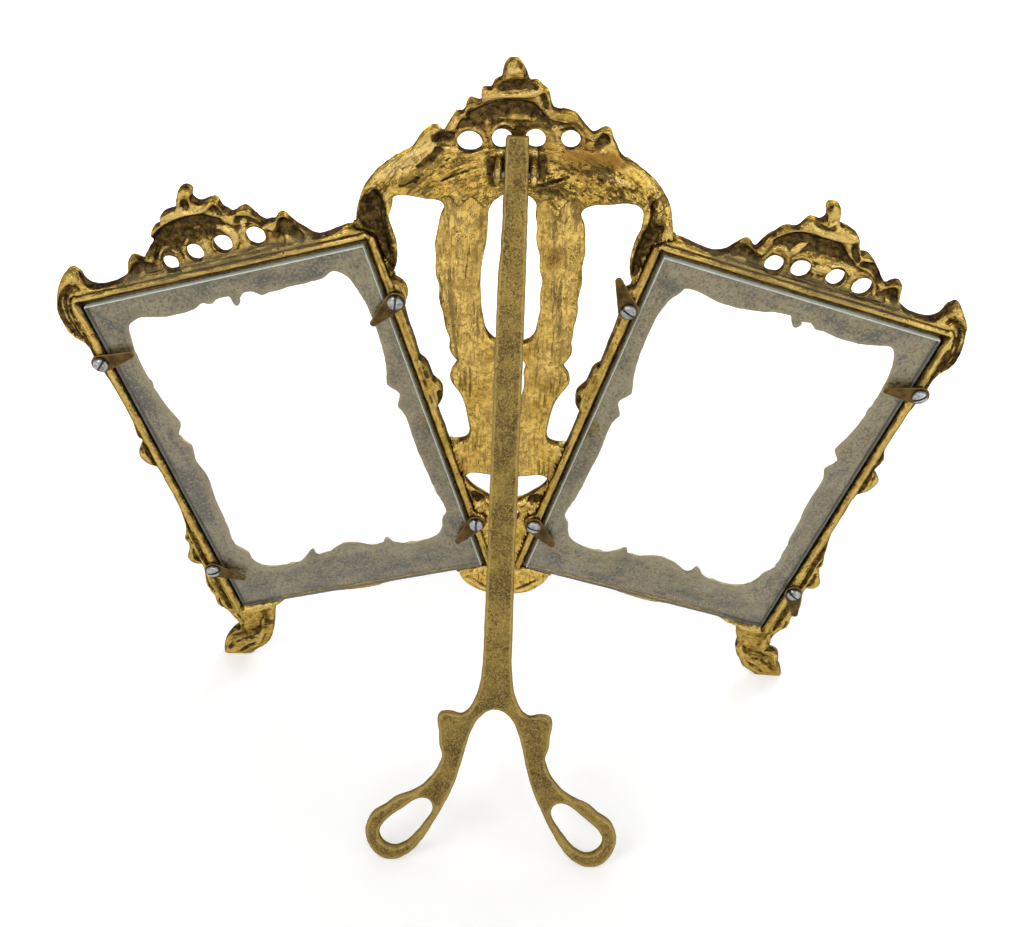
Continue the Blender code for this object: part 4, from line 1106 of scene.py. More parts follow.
def carved_casting(node, place, **casting):
    """The carved mesh of one casting, in its place."""
    casting = {
        "fills": [], "dishes": [], "hollows": [], "back_lines": [], "front_lines": [], "stains": [],
        "pulls": [], "reaming": [], "screws": [], "wobble": 1.0, "roll": 0.6,
        "grain": CASTING_GRAIN, **casting,
    }
    mesh = even_skin(node, place, casting["grain"])
    spots, ends = carve(mesh, casting)
    mark_wear_and_painted_light(mesh, spots, ends)
    mark_stains(mesh, spots, casting["stains"])
    mark_lip(mesh, spots if node.endswith("frame") else spots * 0.0)
    mark_strokes(mesh, spots, node == "centre_panel")
    seat(mesh, place)
    return mesh


# Node trees

def put(tree, node, inputs):
    """Sets each input of a node, or links a socket to it."""
    for name, value in inputs.items():
        if isinstance(value, bpy.types.NodeSocket):
            tree.links.new(value, node.inputs[name])
        else:
            node.inputs[name].default_value = value


def add(tree, kind, inputs=None, **settings):
    """A shader node with its settings and its inputs."""
    made = tree.nodes.new(kind)
    for name, value in settings.items():
        setattr(made, name, value)
    put(tree, made, inputs or {})
    return made


def sums(tree, operation, *values):
    made = add(tree, "ShaderNodeMath", dict(enumerate(values)), operation=operation)
    return made.outputs[0]


def times(tree, first, second):
    return sums(tree, "MULTIPLY", first, second)


def most(tree, first, second):
    return sums(tree, "MAXIMUM", first, second)


def weighed(tree, total, *parts):
    """A value with others added to it, each by its own weight."""
    for value, weight in parts:
        total = sums(tree, "MULTIPLY_ADD", value, weight, total)
    return total


def less(tree, first, second):
    return sums(tree, "SUBTRACT", first, second)


def between(tree, value, low, high, start=0.0, end=1.0):
    """A value eased from one range to another."""
    made = add(
        tree, "ShaderNodeMapRange",
        {"Value": value, "From Min": low, "From Max": high, "To Min": start, "To Max": end},
        interpolation_type="SMOOTHSTEP",
    )
    return made.outputs["Result"]


def colour_mix(tree, share, first, second):
    """Blends two colours by a share. Each of the three may be a socket."""
    first, second = (
        (*colour, 1.0) if isinstance(colour, tuple) else colour for colour in (first, second)
    )
    made = add(tree, "ShaderNodeMix", data_type="RGBA")
    put(tree, made, {0: share, 6: first, 7: second})
    return made.outputs[2]


def coated(tree, colour, *coats):
    """A colour under coats of other colours, each laid on by its own share."""
    for share, coat in coats:
        colour = colour_mix(tree, share, colour, coat)
    return colour


def noise_value(tree, where, scale, detail=4.0, roughness=0.55, distortion=0.0):
    made = add(tree, "ShaderNodeTexNoise", {
        "Vector": where, "Scale": scale, "Detail": detail, "Roughness": roughness,
        "Distortion": distortion,
    })
    return made.outputs[0]


def stretched(tree, where, stretch, turn=(0, 0, 0)):
    """Coordinates turned by degrees about each axis and then stretched."""
    turns = [radians(angle) for angle in turn]
    level = add(tree, "ShaderNodeMapping", {"Vector": where, "Rotation": turns}).outputs[0]
    return add(tree, "ShaderNodeMapping", {"Vector": level, "Scale": stretch}).outputs[0]


def new_group(name, inputs, outputs):
    """A node group that takes a vector and numbers with their usual values, and gives numbers."""
    tree = bpy.data.node_groups.new(name, "ShaderNodeTree")
    tree.interface.new_socket("Vector", in_out="INPUT", socket_type="NodeSocketVector")
    for label, value in inputs.items():
        socket = tree.interface.new_socket(label, in_out="INPUT", socket_type="NodeSocketFloat")
        socket.default_value = value
    for label in outputs:
        tree.interface.new_socket(label, in_out="OUTPUT", socket_type="NodeSocketFloat")
    return tree, tree.nodes.new("NodeGroupInput").outputs


def close_group(tree, results):
    """Gives the group its results."""
    put(tree, tree.nodes.new("NodeGroupOutput"), results)
    return tree


def use_group(tree, group, inputs):
    return add(tree, "ShaderNodeGroup", inputs, node_tree=group).outputs


def file_streaks_group():
    """Long fine scratches left by a file, drawn out along one direction."""
    tree, given = new_group("file_streaks", {"Fineness": 900.0}, ("Streaks", "Scores"))
    fine = noise_value(tree, given["Vector"], given["Fineness"], 3.0, 0.6)
    broad = noise_value(tree, given["Vector"], times(tree, given["Fineness"], 0.22), 2.0)
    deep = weighed(tree, times(tree, fine, 0.4), (broad, 0.6))
    return close_group(tree, {
        "Streaks": weighed(tree, times(tree, broad, 0.2), (fine, 0.8)),
        "Scores": between(tree, deep, 0.56, 0.64),
    })


def pits_group():
    """Small round gas pits of a rough casting, in scattered clusters."""
    tree, given = new_group("casting_pits", {"Scale": 700.0, "Amount": 0.5}, ("Pits",))
    cells = add(tree, "ShaderNodeTexVoronoi", {"Vector": given["Vector"], "Scale": given["Scale"]})
    clusters = noise_value(tree, given["Vector"], times(tree, given["Scale"], 0.16), 3.0)
    reach = times(tree, between(tree, clusters, 0.46, 0.70), given["Amount"])
    depth = less(tree, reach, cells.outputs["Distance"])
    return close_group(tree, {"Pits": between(tree, depth, -0.05, 0.22)})


def chilled_skin_group():
    """The lumpy skin of poured metal: its height, and the low places between the lumps."""
    tree, given = new_group("chilled_skin", {"Scale": 330.0}, ("Height", "Lows"))
    broad = noise_value(tree, given["Vector"], given["Scale"], 2.0, 0.5, 0.6)
    fine = noise_value(tree, given["Vector"], times(tree, given["Scale"], 3.1), 5.0, 0.65, 0.3)
    height = weighed(tree, times(tree, broad, 0.45), (fine, 0.55))
    return close_group(
        tree, {"Height": height, "Lows": between(tree, height, 0.40, 0.52, 1.0, 0.0)}
    )


def tarnish_and_shade_group():
    """Brown-black patina that lies in the hollows and thins out ragged on the flats, together with
    painted shade in the recesses, the gaps and on the side walls.
    """
    usual = {"Hollow": 0.0, "Film": 0.0, "Proud": 0.0, "Lows": 0.0, "Amount": 0.5}
    tree, given = new_group("old_tarnish", usual, ("Tarnish",))
    ragged = noise_value(tree, given["Vector"], 310.0, 5.0, 0.60, 0.4)
    drift = noise_value(tree, given["Vector"], 95.0, 3.0, 0.5)
    lying = weighed(
        tree, most(tree, given["Hollow"], given["Film"]), (given["Proud"], -0.55),
        (less(tree, ragged, 0.5), 1.5), (less(tree, drift, 0.5), 0.8), (given["Lows"], 0.22),
        (less(tree, given["Amount"], 0.5), 1.0),
    )
    return close_group(tree, {"Tarnish": between(tree, lying, 0.22, 0.80)})


def crumple_group():
    """Torn, creased skin where the molten metal chilled."""
    tree, given = new_group("crumpled_skin", {"Crease": 0.0}, ("Creases", "Lumps"))
    lumps = noise_value(tree, given["Vector"], 900.0, 4.0, 0.68, 0.4)
    patches = noise_value(tree, given["Vector"], 150.0, 3.0, 0.5)
    low = weighed(tree, lumps, (less(tree, patches, 0.5), 0.8))
    return close_group(tree, {
        "Creases": times(tree, between(tree, low, 0.49, 0.42), given["Crease"]),
        "Lumps": times(tree, lumps, given["Crease"]),
    })


def sand_grain_group():
    """The grainy skin that moulding sand leaves."""
    tree, given = new_group("sand_skin", {"Scale": 1800.0}, ("Grain", "Specks"))
    grain = noise_value(tree, given["Vector"], given["Scale"], 3.0, 0.7)
    specks = noise_value(tree, given["Vector"], times(tree, given["Scale"], 0.55), 2.0, 0.8)
    return close_group(tree, {"Grain": grain, "Specks": between(tree, specks, 0.55, 0.68)})


def new_material(name):
    made = bpy.data.materials.new(name)
    made.use_nodes = True
    where = add(made.node_tree, "ShaderNodeTexCoord").outputs["Object"]
    return made, made.node_tree, where


def dress(tree, looks, height=None, depth=0.0):
    """Sets the shader's inputs, and bumps its skin by a height of so many millimetres."""
    if height is not None:
        bump = add(tree, "ShaderNodeBump", {"Height": height, "Distance": depth * MM})
        looks["Normal"] = bump.outputs[0]
    put(tree, tree.nodes["Principled BSDF"], looks)


def painted(tree, name):
    return add(tree, "ShaderNodeAttribute", attribute_name=name).outputs["Fac"]


def cast_brass_material(name, age, depth):
    """Ground, handled brass: gold on the flats, brown patina and painted shade in the hollows and
    at the edges, paler gold with painted highlights on the ridges.
    """
    made, tree, where = new_material(name)
    run = add(tree, "ShaderNodeAttribute", attribute_name="run").outputs["Vector"]
    crease, rubbed, rim, proud, hollow, flank, greyed, amber, under_glass = (
        painted(tree, mask)
        for mask in (
            "crease", "rubbed", "rim", "proud", "hollow", "flank", "greyed", "amber", "lip",
        )
    )
    along = stretched(tree, run, (1.0, 0.11, 1.0))
    streaks = use_group(tree, file_streaks, {"Vector": along, "Fineness": 1250.0})
    pits = use_group(tree, casting_pits, {"Vector": where, "Scale": 1300.0, "Amount": 0.40})["Pits"]
    skin = use_group(tree, chilled_skin, {"Vector": where, "Scale": 330.0})
    folds = stretched(tree, run, (1.0, 0.60, 1.0))
    crumple = use_group(tree, crumpled_skin, {"Vector": folds, "Crease": crease})
    # The side walls are darkened as patina with painted shade, and the band along the back's edges
    # is darkened too
    film = most(tree, painted(tree, "film"), times(tree, flank, 0.74))
    # The dark brown coat: patina, with painted shade in the hollows, the gaps by the glass and on
    # the side walls
    tarnish_and_shade = use_group(tree, old_tarnish, {
        "Vector": where, "Hollow": hollow, "Film": most(tree, film, times(tree, rim, 0.42)),
        "Proud": most(tree, proud, times(tree, rubbed, 1.5)), "Lows": skin["Lows"], "Amount": age,
    })["Tarnish"]
    tarnish_and_shade = most(tree, tarnish_and_shade, times(tree, crumple["Creases"], 0.8))
    blotches = noise_value(tree, where, 130.0, 4.0, 0.6)
    mottle = noise_value(tree, where, 620.0, 5.0, 0.68, 0.2)
    # Paler gold on the ridges and worn strokes: wear, with a painted highlight
    bright = times(tree, between(tree, proud, 0.45, 1.0, 0.0, 0.5), less(tree, 1.0, rim))
    gold = coated(
        tree, (0.80, 0.535, 0.130),
        (between(tree, blotches, 0.35, 0.68), (0.55, 0.350, 0.070)),
        (between(tree, mottle, 0.44, 0.62, 0.0, 0.75), (0.25, 0.150, 0.030)),
        (between(tree, streaks["Streaks"], 0.49, 0.63, 0.0, 0.70), (0.16, 0.096, 0.024)),
        (times(tree, streaks["Scores"], 0.55), (0.08, 0.048, 0.015)),
        (most(tree, bright, times(tree, rubbed, 0.5)), (0.88, 0.655, 0.265)),
        (depth, (0.27, 0.180, 0.045)),
        (times(tree, amber, 0.75), (0.20, 0.095, 0.018)),
    )
    brown = coated(
        tree, (0.022, 0.014, 0.006), (between(tree, mottle, 0.38, 0.68), (0.140, 0.086, 0.022))
    )
    wisps = noise_value(tree, stretched(tree, run, (1.0, 0.5, 1.0)), 190.0, 5.0, 0.62, 0.2)
    clouds = noise_value(tree, where, 62.0, 4.0, 0.55, 0.6)
    grime = use_group(tree, sand_skin, {"Vector": where, "Scale": 1200.0})["Grain"]
    taupe = coated(
        tree, (0.270, 0.198, 0.084),
        (most(tree, between(tree, clouds, 0.52, 0.66, 0.0, 0.8), greyed), (0.104, 0.082, 0.052)),
        (between(tree, wisps, 0.50, 0.62, 0.0, 0.7), (0.37, 0.295, 0.150)),
        (between(tree, wisps, 0.48, 0.36, 0.0, 0.8), (0.052, 0.044, 0.030)),
        (between(tree, grime, 0.52, 0.63, 0.0, 0.75), (0.40, 0.315, 0.165)),
        (between(tree, grime, 0.48, 0.38, 0.0, 0.75), (0.045, 0.038, 0.026)),
        # Paler along the lip's edges and ridges: a painted highlight
        (times(tree, most(tree, rim, proud), 0.5), (0.36, 0.285, 0.145)),
    )
    coloured = coated(
        tree, gold, (tarnish_and_shade, brown), (times(tree, greyed, 0.7), (0.125, 0.098, 0.048)),
        (times(tree, pits, 0.8), (0.035, 0.022, 0.010)), (times(tree, under_glass, 0.95), taupe),
    )
    dull = most(tree, times(tree, tarnish_and_shade, 0.12), times(tree, under_glass, 0.7))
    rough = weighed(
        tree, 0.06, (streaks["Streaks"], 0.26), (tarnish_and_shade, 0.16), (under_glass, 0.15)
    )
    height = weighed(
        tree, skin["Height"], (streaks["Streaks"], -0.6), (pits, -0.4),
        (streaks["Scores"], -0.35), (crumple["Lumps"], 1.8), (crumple["Creases"], -0.5),
    )
    dress(tree, {
        "Base Color": coloured, "Metallic": less(tree, 1.0, dull), "Roughness": rough,
        "Specular Tint": (0.30, 0.27, 0.17, 1.0),
    }, height, 0.42)
    return made


def strut_brass_material():
    """Dull brass straight from the sand: grainy, grey-brown, paler gold on its edges from wear and
    a painted highlight, darker in its hollows as patina with painted shade.
    """
    made, tree, where = new_material("sand_cast_brass_strut")
    sand = use_group(tree, sand_skin, {"Vector": where, "Scale": 2100.0})
    pits = use_group(tree, casting_pits, {"Vector": where, "Scale": 1500.0, "Amount": 0.5})["Pits"]
    blotches = noise_value(tree, where, 105.0, 4.0, 0.6)
    # Paler on the proud edges, wear with a painted highlight; darker further down in the hollows,
    # patina with painted shade
    rubbed = times(tree, between(tree, painted(tree, "proud"), 0.35, 0.95), 0.45)
    dull = coated(
        tree, (0.240, 0.162, 0.044),
        (between(tree, blotches, 0.36, 0.66), (0.094, 0.066, 0.025)),
        (between(tree, sand["Grain"], 0.44, 0.64, 0.0, 0.65), (0.42, 0.290, 0.084)),
        (times(tree, sand["Specks"], 0.6), (0.062, 0.040, 0.018)),
        (rubbed, (0.52, 0.37, 0.12)),
        (times(tree, painted(tree, "hollow"), 0.8), (0.045, 0.03, 0.014)),
        (times(tree, pits, 0.4), (0.04, 0.026, 0.012)),
    )
    dress(tree, {
        "Base Color": dull, "Metallic": between(tree, sand["Specks"], 0.0, 1.0, 0.95, 0.7),
        "Roughness": weighed(tree, 0.22, (sand["Grain"], 0.30)),
        "Specular Tint": (0.40, 0.35, 0.22, 1.0),
    }, weighed(tree, sand["Grain"], (sand["Specks"], -0.5), (pits, -0.6)), 0.24)
    return made


def clip_brass_material():
    """Thin rolled strip gone amber-brown, worn brighter on its edges, with a painted highlight
    there.
    """
    made, tree, where = new_material("dark_brass_strip_clips")
    along = stretched(tree, where, (1.0, 0.12, 1.0), (90 + LEAN, 0, 0))
    streaks = use_group(tree, file_streaks, {"Vector": along, "Fineness": 1500.0})["Streaks"]
    blotches = noise_value(tree, where, 420.0, 4.0, 0.6)
    amber = coated(
        tree, (0.135, 0.078, 0.020),
        (between(tree, blotches, 0.36, 0.66), (0.055, 0.033, 0.012)),
        (between(tree, streaks, 0.48, 0.7, 0.0, 0.6), (0.06, 0.035, 0.014)),
        # Paler on the proud edges: wear with a painted highlight
        (between(tree, painted(tree, "proud"), 0.3, 0.9, 0.0, 0.45), (0.26, 0.17, 0.055)),
    )
    rough = weighed(tree, 0.18, (streaks, 0.35))
    dress(
        tree, {"Base Color": amber, "Metallic": 0.9, "Roughness": rough},
        weighed(tree, streaks, (blotches, 0.6)), 0.05,
    )
    return made


def steel_material(name, bright, dark, roughness):
    """Plated steel with turning marks, dulled by handling, with painted shade in the slot."""
    made, tree, where = new_material(name)
    streaks = use_group(tree, file_streaks, {"Vector": where, "Fineness": 1400.0})["Streaks"]
    grime = noise_value(tree, where, 700.0, 4.0, 0.6)
    steel = coated(
        tree, bright, (between(tree, grime, 0.42, 0.72), dark),
        # Painted shade in the hollows, such as the screw slot
        (times(tree, painted(tree, "hollow"), 0.9), (0.03, 0.027, 0.022)),
    )
    rough = weighed(tree, roughness, (streaks, 0.25))
    dress(tree, {"Base Color": steel, "Metallic": 1.0, "Roughness": rough}, streaks, 0.03)
    return made


def glass_material():
    """Old window glass, faintly green, with a few smears."""
    made, tree, where = new_material("window_glass_pane")
    wiped = stretched(tree, where, (1.0, 0.3, 1.0), (90 + LEAN, 0, 30))
    smears = noise_value(tree, wiped, 70.0, 4.0)
    share = between(tree, smears, 0.4, 0.7)
    dress(tree, {
        "Base Color": coated(tree, (0.965, 0.985, 0.970), (share, (0.94, 0.965, 0.945))),
        "Metallic": 0.0, "Transmission Weight": 1.0, "IOR": 1.5,
        "Roughness": between(tree, smears, 0.52, 0.80, 0.0, 0.05),
    }, noise_value(tree, where, 45.0, 1.0), 0.04)
    return made


def ground_edge_material(name, light, dark):
    """The frosted cut edge of a pane."""
    made, tree, where = new_material(name)
    grind = noise_value(tree, where, 1500.0, 3.0, 0.7)
    drift = noise_value(tree, where, 110.0, 2.0)
    pale = coated(
        tree, light, (between(tree, grind, 0.35, 0.7), dark),
        (between(tree, drift, 0.42, 0.62, 0.0, 0.45), dark),
    )
    dress(tree, {
        "Base Color": pale, "Metallic": 0.0, "Transmission Weight": 0.2,
        "Roughness": between(tree, grind, 0.3, 0.7, 0.35, 0.6),
    }, grind, 0.04)
    return made


# Small pieces

def spun(profile, steps=40):
    """A turned solid about z from its profile of radius and height, top to bottom."""
    shape = bmesh.new()
    points = [shape.verts.new((radius * MM, 0.0, height * MM)) for radius, height in profile]
    edges = [shape.edges.new(pair) for pair in zip(points, points[1:])]
    bmesh.ops.spin(
        shape, geom=points + edges, axis=(0, 0, 1), cent=(0, 0, 0), angle=2 * pi, steps=steps,
        use_merge=True,
    )
    bmesh.ops.remove_doubles(shape, verts=shape.verts, dist=0.000001)
    bmesh.ops.recalc_face_normals(shape, faces=shape.faces)
    return shape


def slotted(shape, name, top):
    """Cuts the driver slot across a screw head."""
    screw = show(name, to_mesh(shape, name))
    blade = bmesh.new()
    bmesh.ops.create_cube(blade, size=1.0)
    bmesh.ops.scale(blade, vec=(8 * MM, SLOT_WIDTH * MM, 2 * MM), verts=blade.verts)
    bmesh.ops.translate(blade, vec=(0, 0, (top - SLOT_DEPTH + 1.0) * MM), verts=blade.verts)
    tool = show("driver_slot", to_mesh(blade, "driver_slot"))
    cut = screw.modifiers.new("slot", "BOOLEAN")
    cut.object = tool
    cut.solver = "EXACT"
    worn = screw.modifiers.new("worn", "BEVEL")
    worn.width = 0.10 * MM
    worn.segments = 2
    worn.limit_method = "ANGLE"
    worn.angle_limit = radians(SHARP_TURN)
    mesh = apply_modifiers(screw)
    bpy.data.objects.remove(tool)
    return mesh


def screw_mesh(name):
    """A domed slotted screw, slightly flattened on top, with its shank."""
    top = HEAD_SEAT + HEAD_HEIGHT
    profile = [(0.0, top)]
    for step in range(1, 9):
        turn = step / 8 * pi / 2
        profile.append((HEAD_RADIUS * sin(turn), top - (HEAD_HEIGHT - 0.35) * (1 - cos(turn))))
    profile += [
        (HEAD_RADIUS, HEAD_SEAT + 0.12), (HEAD_RADIUS - 0.15, HEAD_SEAT), (SCREW_RADIUS, HEAD_SEAT),
        (SCREW_RADIUS, HEAD_SEAT - SCREW_LENGTH + 0.5), (0.0, HEAD_SEAT - SCREW_LENGTH),
    ]
    return slotted(spun(profile), name, top)


def clip_places():
    """Each clip's name, its frame's side, its screw's place and its heading in degrees."""
    for (side_name, level, edge), rise in CLIP_TURNS.items():
        side = SIDES[side_name]
        x = side * (SCREW_OUT if edge == "outer" else -SCREW_OUT)
        y = SCREW_UP if level == "upper" else -SCREW_UP
        yield f"{side_name}_{level}_{edge}", side, x, y, 180.0 - rise if x > 0 else rise


def screw_place(side, x, y, turn):
    """From a screw's own axis, turned by degrees, to where it stands."""
    at = Matrix.Translation((x * MM, y * MM, 0)) @ Matrix.Rotation(radians(turn), 4, "Z")
    return frame_place(side) @ at


def add_screws():
    for name, side, x, y, heading in clip_places():
        mesh = screw_mesh(f"{name}_domed_screw")
        spots = read_points(mesh)
        deep = spots[:, 2] < HEAD_SEAT + HEAD_HEIGHT - 0.2
        inside = (abs(spots[:, 1]) < SLOT_WIDTH * 0.62) & deep
        # The inside of the slot, which the steel darkens as painted shade
        store(mesh, "hollow", inside * 1.0)
        store(mesh, "proud", 1.0 - inside)
        mesh.transform(screw_place(side, x, y, heading + SLOT_TURN))
        finish_piece(mesh.name, mesh, bright_steel, "stand", "bright_steel", f"{name}_screw")
        mesh.set_sharp_from_angle(angle=radians(SHARP_TURN))


def ring(radius, start, end, count, x=0.0, closed=True):
    """Points on a round edge, from one angle to another."""
    return [
        (x + radius * cos(turn), radius * sin(turn))
        for turn in np.linspace(start, end, count, closed)
    ]


def clip_mesh(name):
    """A turn clip cut from strip: a round end, tapering to a small tip that dips to the glass."""
    reach = CLIP_LENGTH - CLIP_TIP
    start = pi / 2 - (CLIP_END - CLIP_TIP) / reach
    outline = ring(CLIP_END, start, 2 * pi - start, 29) + ring(CLIP_TIP, -start, start, 11, reach)
    curve = bpy.data.curves.new(name, "CURVE")
    curve.dimensions = "2D"
    curve.fill_mode = "BOTH"
    for edge in (outline, ring(SCREW_HOLE, 0, 2 * pi, 24, closed=False)):
        line = curve.splines.new("POLY")
        line.points.add(len(edge) - 1)
        line.use_cyclic_u = True
        for knot, (x, y) in zip(line.points, edge):
            knot.co = (x * MM, y * MM, 0.0, 1.0)
    curve.extrude = CLIP_THICKNESS / 2 * MM
    mesh = apply_modifiers(show(name, curve))
    shape = bmesh.new()
    shape.from_mesh(mesh)
    bmesh.ops.remove_doubles(shape, verts=shape.verts, dist=0.00001)
    bmesh.ops.recalc_face_normals(shape, faces=shape.faces)
    shape.to_mesh(mesh)
    shape.free()
    mesh = remeshed(mesh, CLIP_GRAIN)
    ends = read_edges(mesh)
    spots = even_out(read_points(mesh), ends, 4, SOFTENING)
    out = ramp(spots[:, 0], 3.0, 10.5)
    middle = CLIP_BACK - CLIP_THICKNESS / 2
    spots[:, 2] += middle + CLIP_LIFT + 0.10 * np.sin(out * pi) - 0.04 * out
    spots[:, 2] += 0.05 * uneven(spots, 2.3, len(name))
    write_points(mesh, spots)
    mark_wear_and_painted_light(mesh, spots * 2.0, ends)
    return mesh


def add_clips():
    for name, side, x, y, heading in clip_places():
        mesh = clip_mesh(f"{name}_strip_clip")
        seat(mesh, screw_place(side, x, y, heading))
        finish_piece(
            mesh.name, mesh, clip_brass, f"{name}_turn_clip", "dark_brass_strip", f"{name}_clip",
        )


def add_pin():
    """The hinge pin, its ends rounded over where they were struck."""
    profile = [
        (0.0, PIN_REACH), (0.45, PIN_REACH - 0.03), (0.75, PIN_REACH - 0.15),
        (PIN_RADIUS, PIN_REACH - 0.4),
    ]
    profile += [(radius, -height) for radius, height in reversed(profile)]
    mesh = to_mesh(spun(profile, 32), "struck_hinge_pin")
    lying = Matrix.Translation((0, PIN_UP * MM, PIN_OUT * MM)) @ Matrix.Rotation(pi / 2, 4, "Y")
    mesh.transform(panel_place() @ lying)
    store(mesh, "hollow", np.zeros(len(mesh.vertices)))
    store(mesh, "proud", np.ones(len(mesh.vertices)))
    finish_piece(mesh.name, mesh, dark_steel, "stand", "bright_steel", "hinge_pin")


def add_panes():
    """Panes with clear faces and ground edges, the edges facing outward and down in a darker copy
    that paints their shade.
    """
    for side_name, side in SIDES.items():
        shape = bmesh.new()
        bmesh.ops.create_cube(shape, size=1.0)
        size = Vector((PANE_WIDTH + PANE_SPREAD, PANE_HEIGHT + PANE_DROP, PANE_THICKNESS)) * MM
        bmesh.ops.scale(shape, vec=size, verts=shape.verts)
        middle = Vector((side * PANE_SPREAD, -PANE_DROP, -PANE_THICKNESS)) / 2 * MM
        bmesh.ops.translate(shape, vec=middle, verts=shape.verts)
        bmesh.ops.bevel(
            shape, geom=shape.edges[:], offset=GROUND_EDGE * MM, affect="EDGES", segments=2,
            profile=0.5, material=-1,
        )
        shape.normal_update()
        for face in shape.faces:
            # Edges facing the outer side or down get the darker copy: painted shade
            sunk = face.normal.x * side > 0.3 or face.normal.y < -0.3
            face.material_index = 0 if abs(face.normal.z) > 0.99 else 2 if sunk else 1
        mesh = to_mesh(shape, f"{side_name}_pane")
        mesh.transform(frame_place(side))
        pane = show(mesh.name, mesh)
        mesh.materials.append(clear_glass)
        mesh.materials.append(ground_edge)
        mesh.materials.append(shaded_edge)
        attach(pane, "stand")
        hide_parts(f"{side_name}_glass")


def crest_rings():
    """A raised ring round each hole on the front of a crest."""
    reach = HOLE_RADIUS + 0.8
    turns = np.linspace(0.0, 2 * pi, 13)
    return [
        (0.9, 0.5, [(x + reach * cos(turn), y + reach * sin(turn)) for turn in turns])
        for x, y in CREST_HOLES
    ]


def crest_work(name, up):
    """The bends and the reamed holes of one crest, at its height on its casting."""
    pulls = [(x, y + up, *rest) for x, y, *rest in CREST_PULLS[name]]
    pulls += [(x, up - 2.0, 3.0, 0.0, 0.0) for x in range(-30, 31, 4)]
    reaming = []
    for (x, y), growth in zip(CREST_HOLES, CREST_REAMING[name]):
        across, rise = next(pull[3:] for pull in CREST_PULLS[name] if pull[:2] == (x, y))
        reaming.append((x + across, y + rise + up, growth))
    return pulls, reaming


def add_castings():
    frames = []
    for side_name, side in SIDES.items():
        pulls, reaming = crest_work(side_name, RIM_UP)
        pulls += [
            (x * side, y, reach, across * side, up)
            for x, y, reach, across, up in FRAME_PULLS[side_name]
        ]
        mesh = carved_casting(
            f"{side_name}_frame", frame_place(side), front=FRAME_FACE, back=FRAME_RIM,
            pulls=pulls, reaming=reaming, hollows=shifted(CREST_HOLLOW, up=RIM_UP),
            fills=shifted(CREST_FILL, up=RIM_UP) + shifted(FOOT_FILL, side=side),
            dishes=shifted(CREST_DISH[side_name], up=RIM_UP)
            + shifted(HORN_DISH + FOOT_DISH, side=side),
            back_lines=FRAME_BACK + shifted(CREST_BACK[side_name], up=RIM_UP)
            + shifted(HORN_BACK + SIDE_BACK + FOOT_BACK, side=side),
            front_lines=frame_front() + shifted(crest_front() + crest_rings(), up=RIM_UP)
            + shifted(frame_side_front(), side=side),
            stains=shifted(FRAME_STAINS + LIP_STAINS[side_name], side=side)
            + shifted(CREST_STAINS[side_name], up=RIM_UP),
            screws=[(out * SCREW_OUT, up * SCREW_UP) for out in (1, -1) for up in (1, -1)],
        )
        finish_piece(mesh.name, mesh, frame_brass, "stand", "cast_brass", f"{side_name}_frame")
        frames.append(mesh)
    up = CENTRE_CREST_UP
    pulls, reaming = crest_work("centre", up)
    mesh = carved_casting(
        "centre_panel", panel_place(), front=CENTRE_FACE, back=CENTRE_BACK_FACE,
        pulls=pulls + CENTRE_PULLS, reaming=reaming, hollows=shifted(CREST_HOLLOW, up=up),
        fills=CENTRE_FILL + shifted(shallower(CREST_FILL), up=up),
        dishes=CENTRE_DISH + shifted(shallower(CREST_DISH["centre"]), up=up),
        back_lines=CENTRE_BACK + shifted(CREST_BACK["centre"], up=up),
        front_lines=centre_front() + shifted(crest_front() + crest_rings(), up=up),
        stains=CENTRE_STAINS + shifted(CREST_STAINS["centre"], up=up),
    )
    close_joints(mesh, frames)
    finish_piece(mesh.name, mesh, centre_brass, "stand", "cast_brass", "centre_panel")
    mesh = carved_casting(
        "easel_strut", strut_place(), front=STRUT_FACE, back=STRUT_BACK_FACE,
        back_lines=STRUT_BACK, pulls=STRUT_PULLS, wobble=0.7, roll=0.0, grain=STRUT_GRAIN,
    )
    finish_piece(mesh.name, mesh, strut_brass, "strut", "sand_cast_brass", "easel_strut")


def seen_by_camera(tree):
    """The kinds of rays, and 1 for those that come from the camera straight or through glass."""
    rays = add(tree, "ShaderNodeLightPath").outputs
    return rays, most(tree, rays["Is Camera Ray"], rays["Is Transmission Ray"])


def add_floor():
    """A wide white floor that keeps the soft shadow."""
    shape = bmesh.new()
    bmesh.ops.create_grid(shape, x_segments=1, y_segments=1, size=FLOOR_SIZE)
    bmesh.ops.translate(shape, vec=(0, 0, FLOOR_HEIGHT), verts=shape.verts)
    floor = show("floor", to_mesh(shape, "floor"))
    made, tree, where = new_material("white_floor")
    paper = noise_value(tree, where, 3.0, 2.0)
    rays, seen = seen_by_camera(tree)
    seen = most(tree, seen, rays["Is Glossy Ray"])
    away = add(tree, "ShaderNodeVectorMath", {0: where}, operation="LENGTH").outputs["Value"]
    dress(tree, {
        "Base Color": between(tree, paper, 0.3, 0.7, 0.78, 0.80), "Roughness": 0.9,
        "Specular IOR Level": 0.1, "Emission Color": (1, 1, 1, 1),
        "Emission Strength": times(tree, seen, between(tree, away, 0.18, 0.9, 0.40, 1.0)),
    })
    floor.data.materials.append(made)


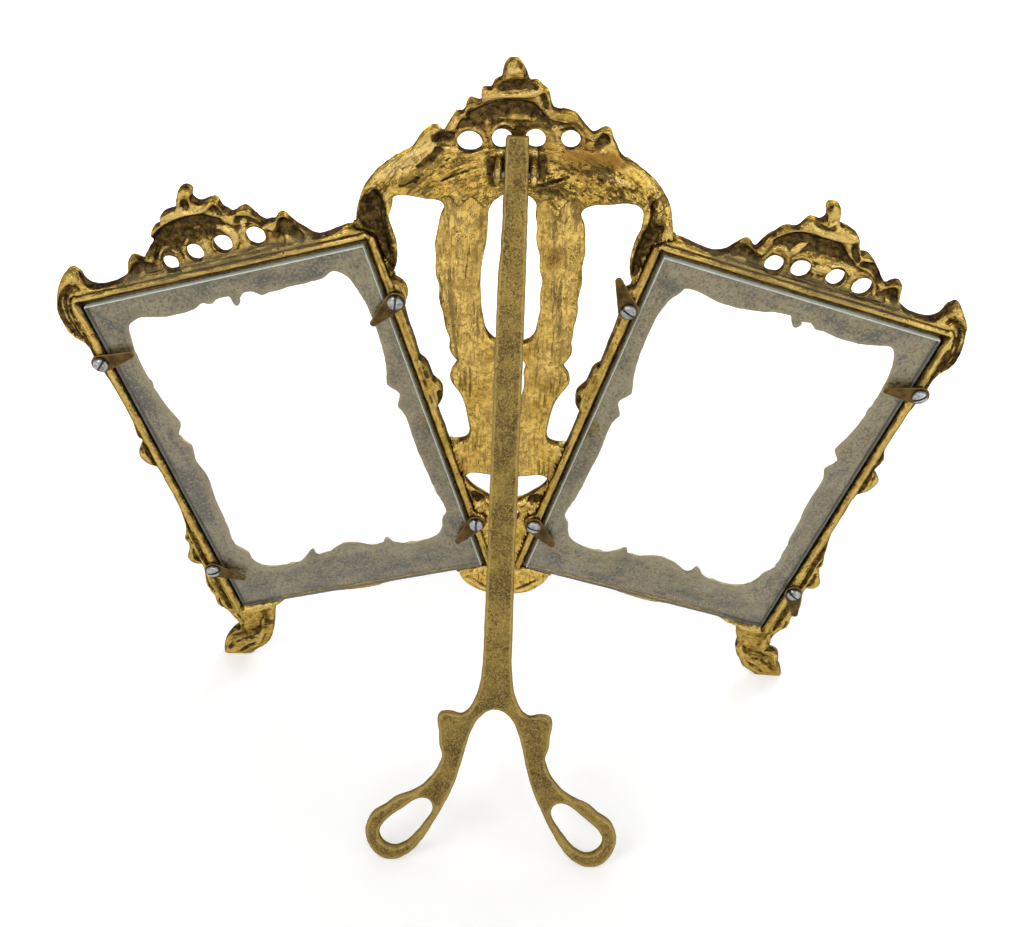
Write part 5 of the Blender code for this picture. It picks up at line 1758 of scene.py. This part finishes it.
def add_light():
    """A pale uneven room, a large soft lamp at the upper left, and smaller ones round about."""
    world = bpy.data.worlds.new("pale_room")
    bpy.context.scene.world = world
    world.use_nodes = True
    tree = world.node_tree
    where = add(tree, "ShaderNodeTexCoord").outputs["Generated"]
    shade = between(tree, noise_value(tree, where, 1.7, 1.0, 0.5), 0.38, 0.62, 0.22, 0.80)
    seen = seen_by_camera(tree)[1]
    strength = add(tree, "ShaderNodeMix", {0: seen, 2: shade, 3: 1.0}).outputs[0]
    put(tree, tree.nodes["Background"], {"Strength": strength, "Color": (1, 1, 1, 1)})
    for name, at, size, power in LAMPS:
        lamp = bpy.data.lights.new(name, "AREA")
        lamp.size = size
        lamp.energy = power
        made = show(name, lamp)
        made.location = at
        made.rotation_euler = (Vector(LAMP_AIM) - Vector(at)).to_track_quat("-Z", "Y").to_euler()


def add_camera():
    """Looks down on the back of the stand, from where the photograph was taken."""
    lens = bpy.data.cameras.new("camera")
    lens.lens = CAMERA_LENS
    lens.sensor_width = CAMERA_SENSOR
    lens.sensor_fit = "HORIZONTAL"
    lens.clip_start = 0.01
    made = show("camera", lens)
    made.location = CAMERA_PLACE
    made.rotation_euler = [radians(angle) for angle in CAMERA_TURN]
    bpy.context.scene.camera = made


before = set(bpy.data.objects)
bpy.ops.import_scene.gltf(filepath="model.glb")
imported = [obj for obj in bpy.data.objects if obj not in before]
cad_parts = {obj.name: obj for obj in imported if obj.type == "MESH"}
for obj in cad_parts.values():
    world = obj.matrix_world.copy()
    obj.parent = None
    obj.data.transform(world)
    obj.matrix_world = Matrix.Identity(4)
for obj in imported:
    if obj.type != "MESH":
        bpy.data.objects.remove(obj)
solid_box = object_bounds()
add_camera()

file_streaks = file_streaks_group()
casting_pits = pits_group()
chilled_skin = chilled_skin_group()
old_tarnish = tarnish_and_shade_group()
crumpled_skin = crumple_group()
sand_skin = sand_grain_group()
frame_brass = cast_brass_material("cast_brass_frames", 0.69, 0.37)
centre_brass = cast_brass_material("cast_brass_centre", 0.56, 0.02)
strut_brass = strut_brass_material()
clip_brass = clip_brass_material()
bright_steel = steel_material("bright_steel_screws", (0.40, 0.41, 0.41), (0.15, 0.15, 0.15), 0.24)
dark_steel = steel_material("dark_steel_pin", (0.36, 0.34, 0.30), (0.16, 0.14, 0.11), 0.28)
clear_glass = glass_material()
ground_edge = ground_edge_material("ground_glass_edge", (0.86, 0.92, 0.82), (0.60, 0.69, 0.58))
# The same ground edge, darker: painted shade
shaded_edge = ground_edge_material("sunk_glass_edge", (0.190, 0.200, 0.150), (0.095, 0.102, 0.075))

add_castings()
add_panes()
add_clips()
add_screws()
add_pin()
add_floor()
add_light()
bpy.context.scene.view_settings.view_transform = "Standard"
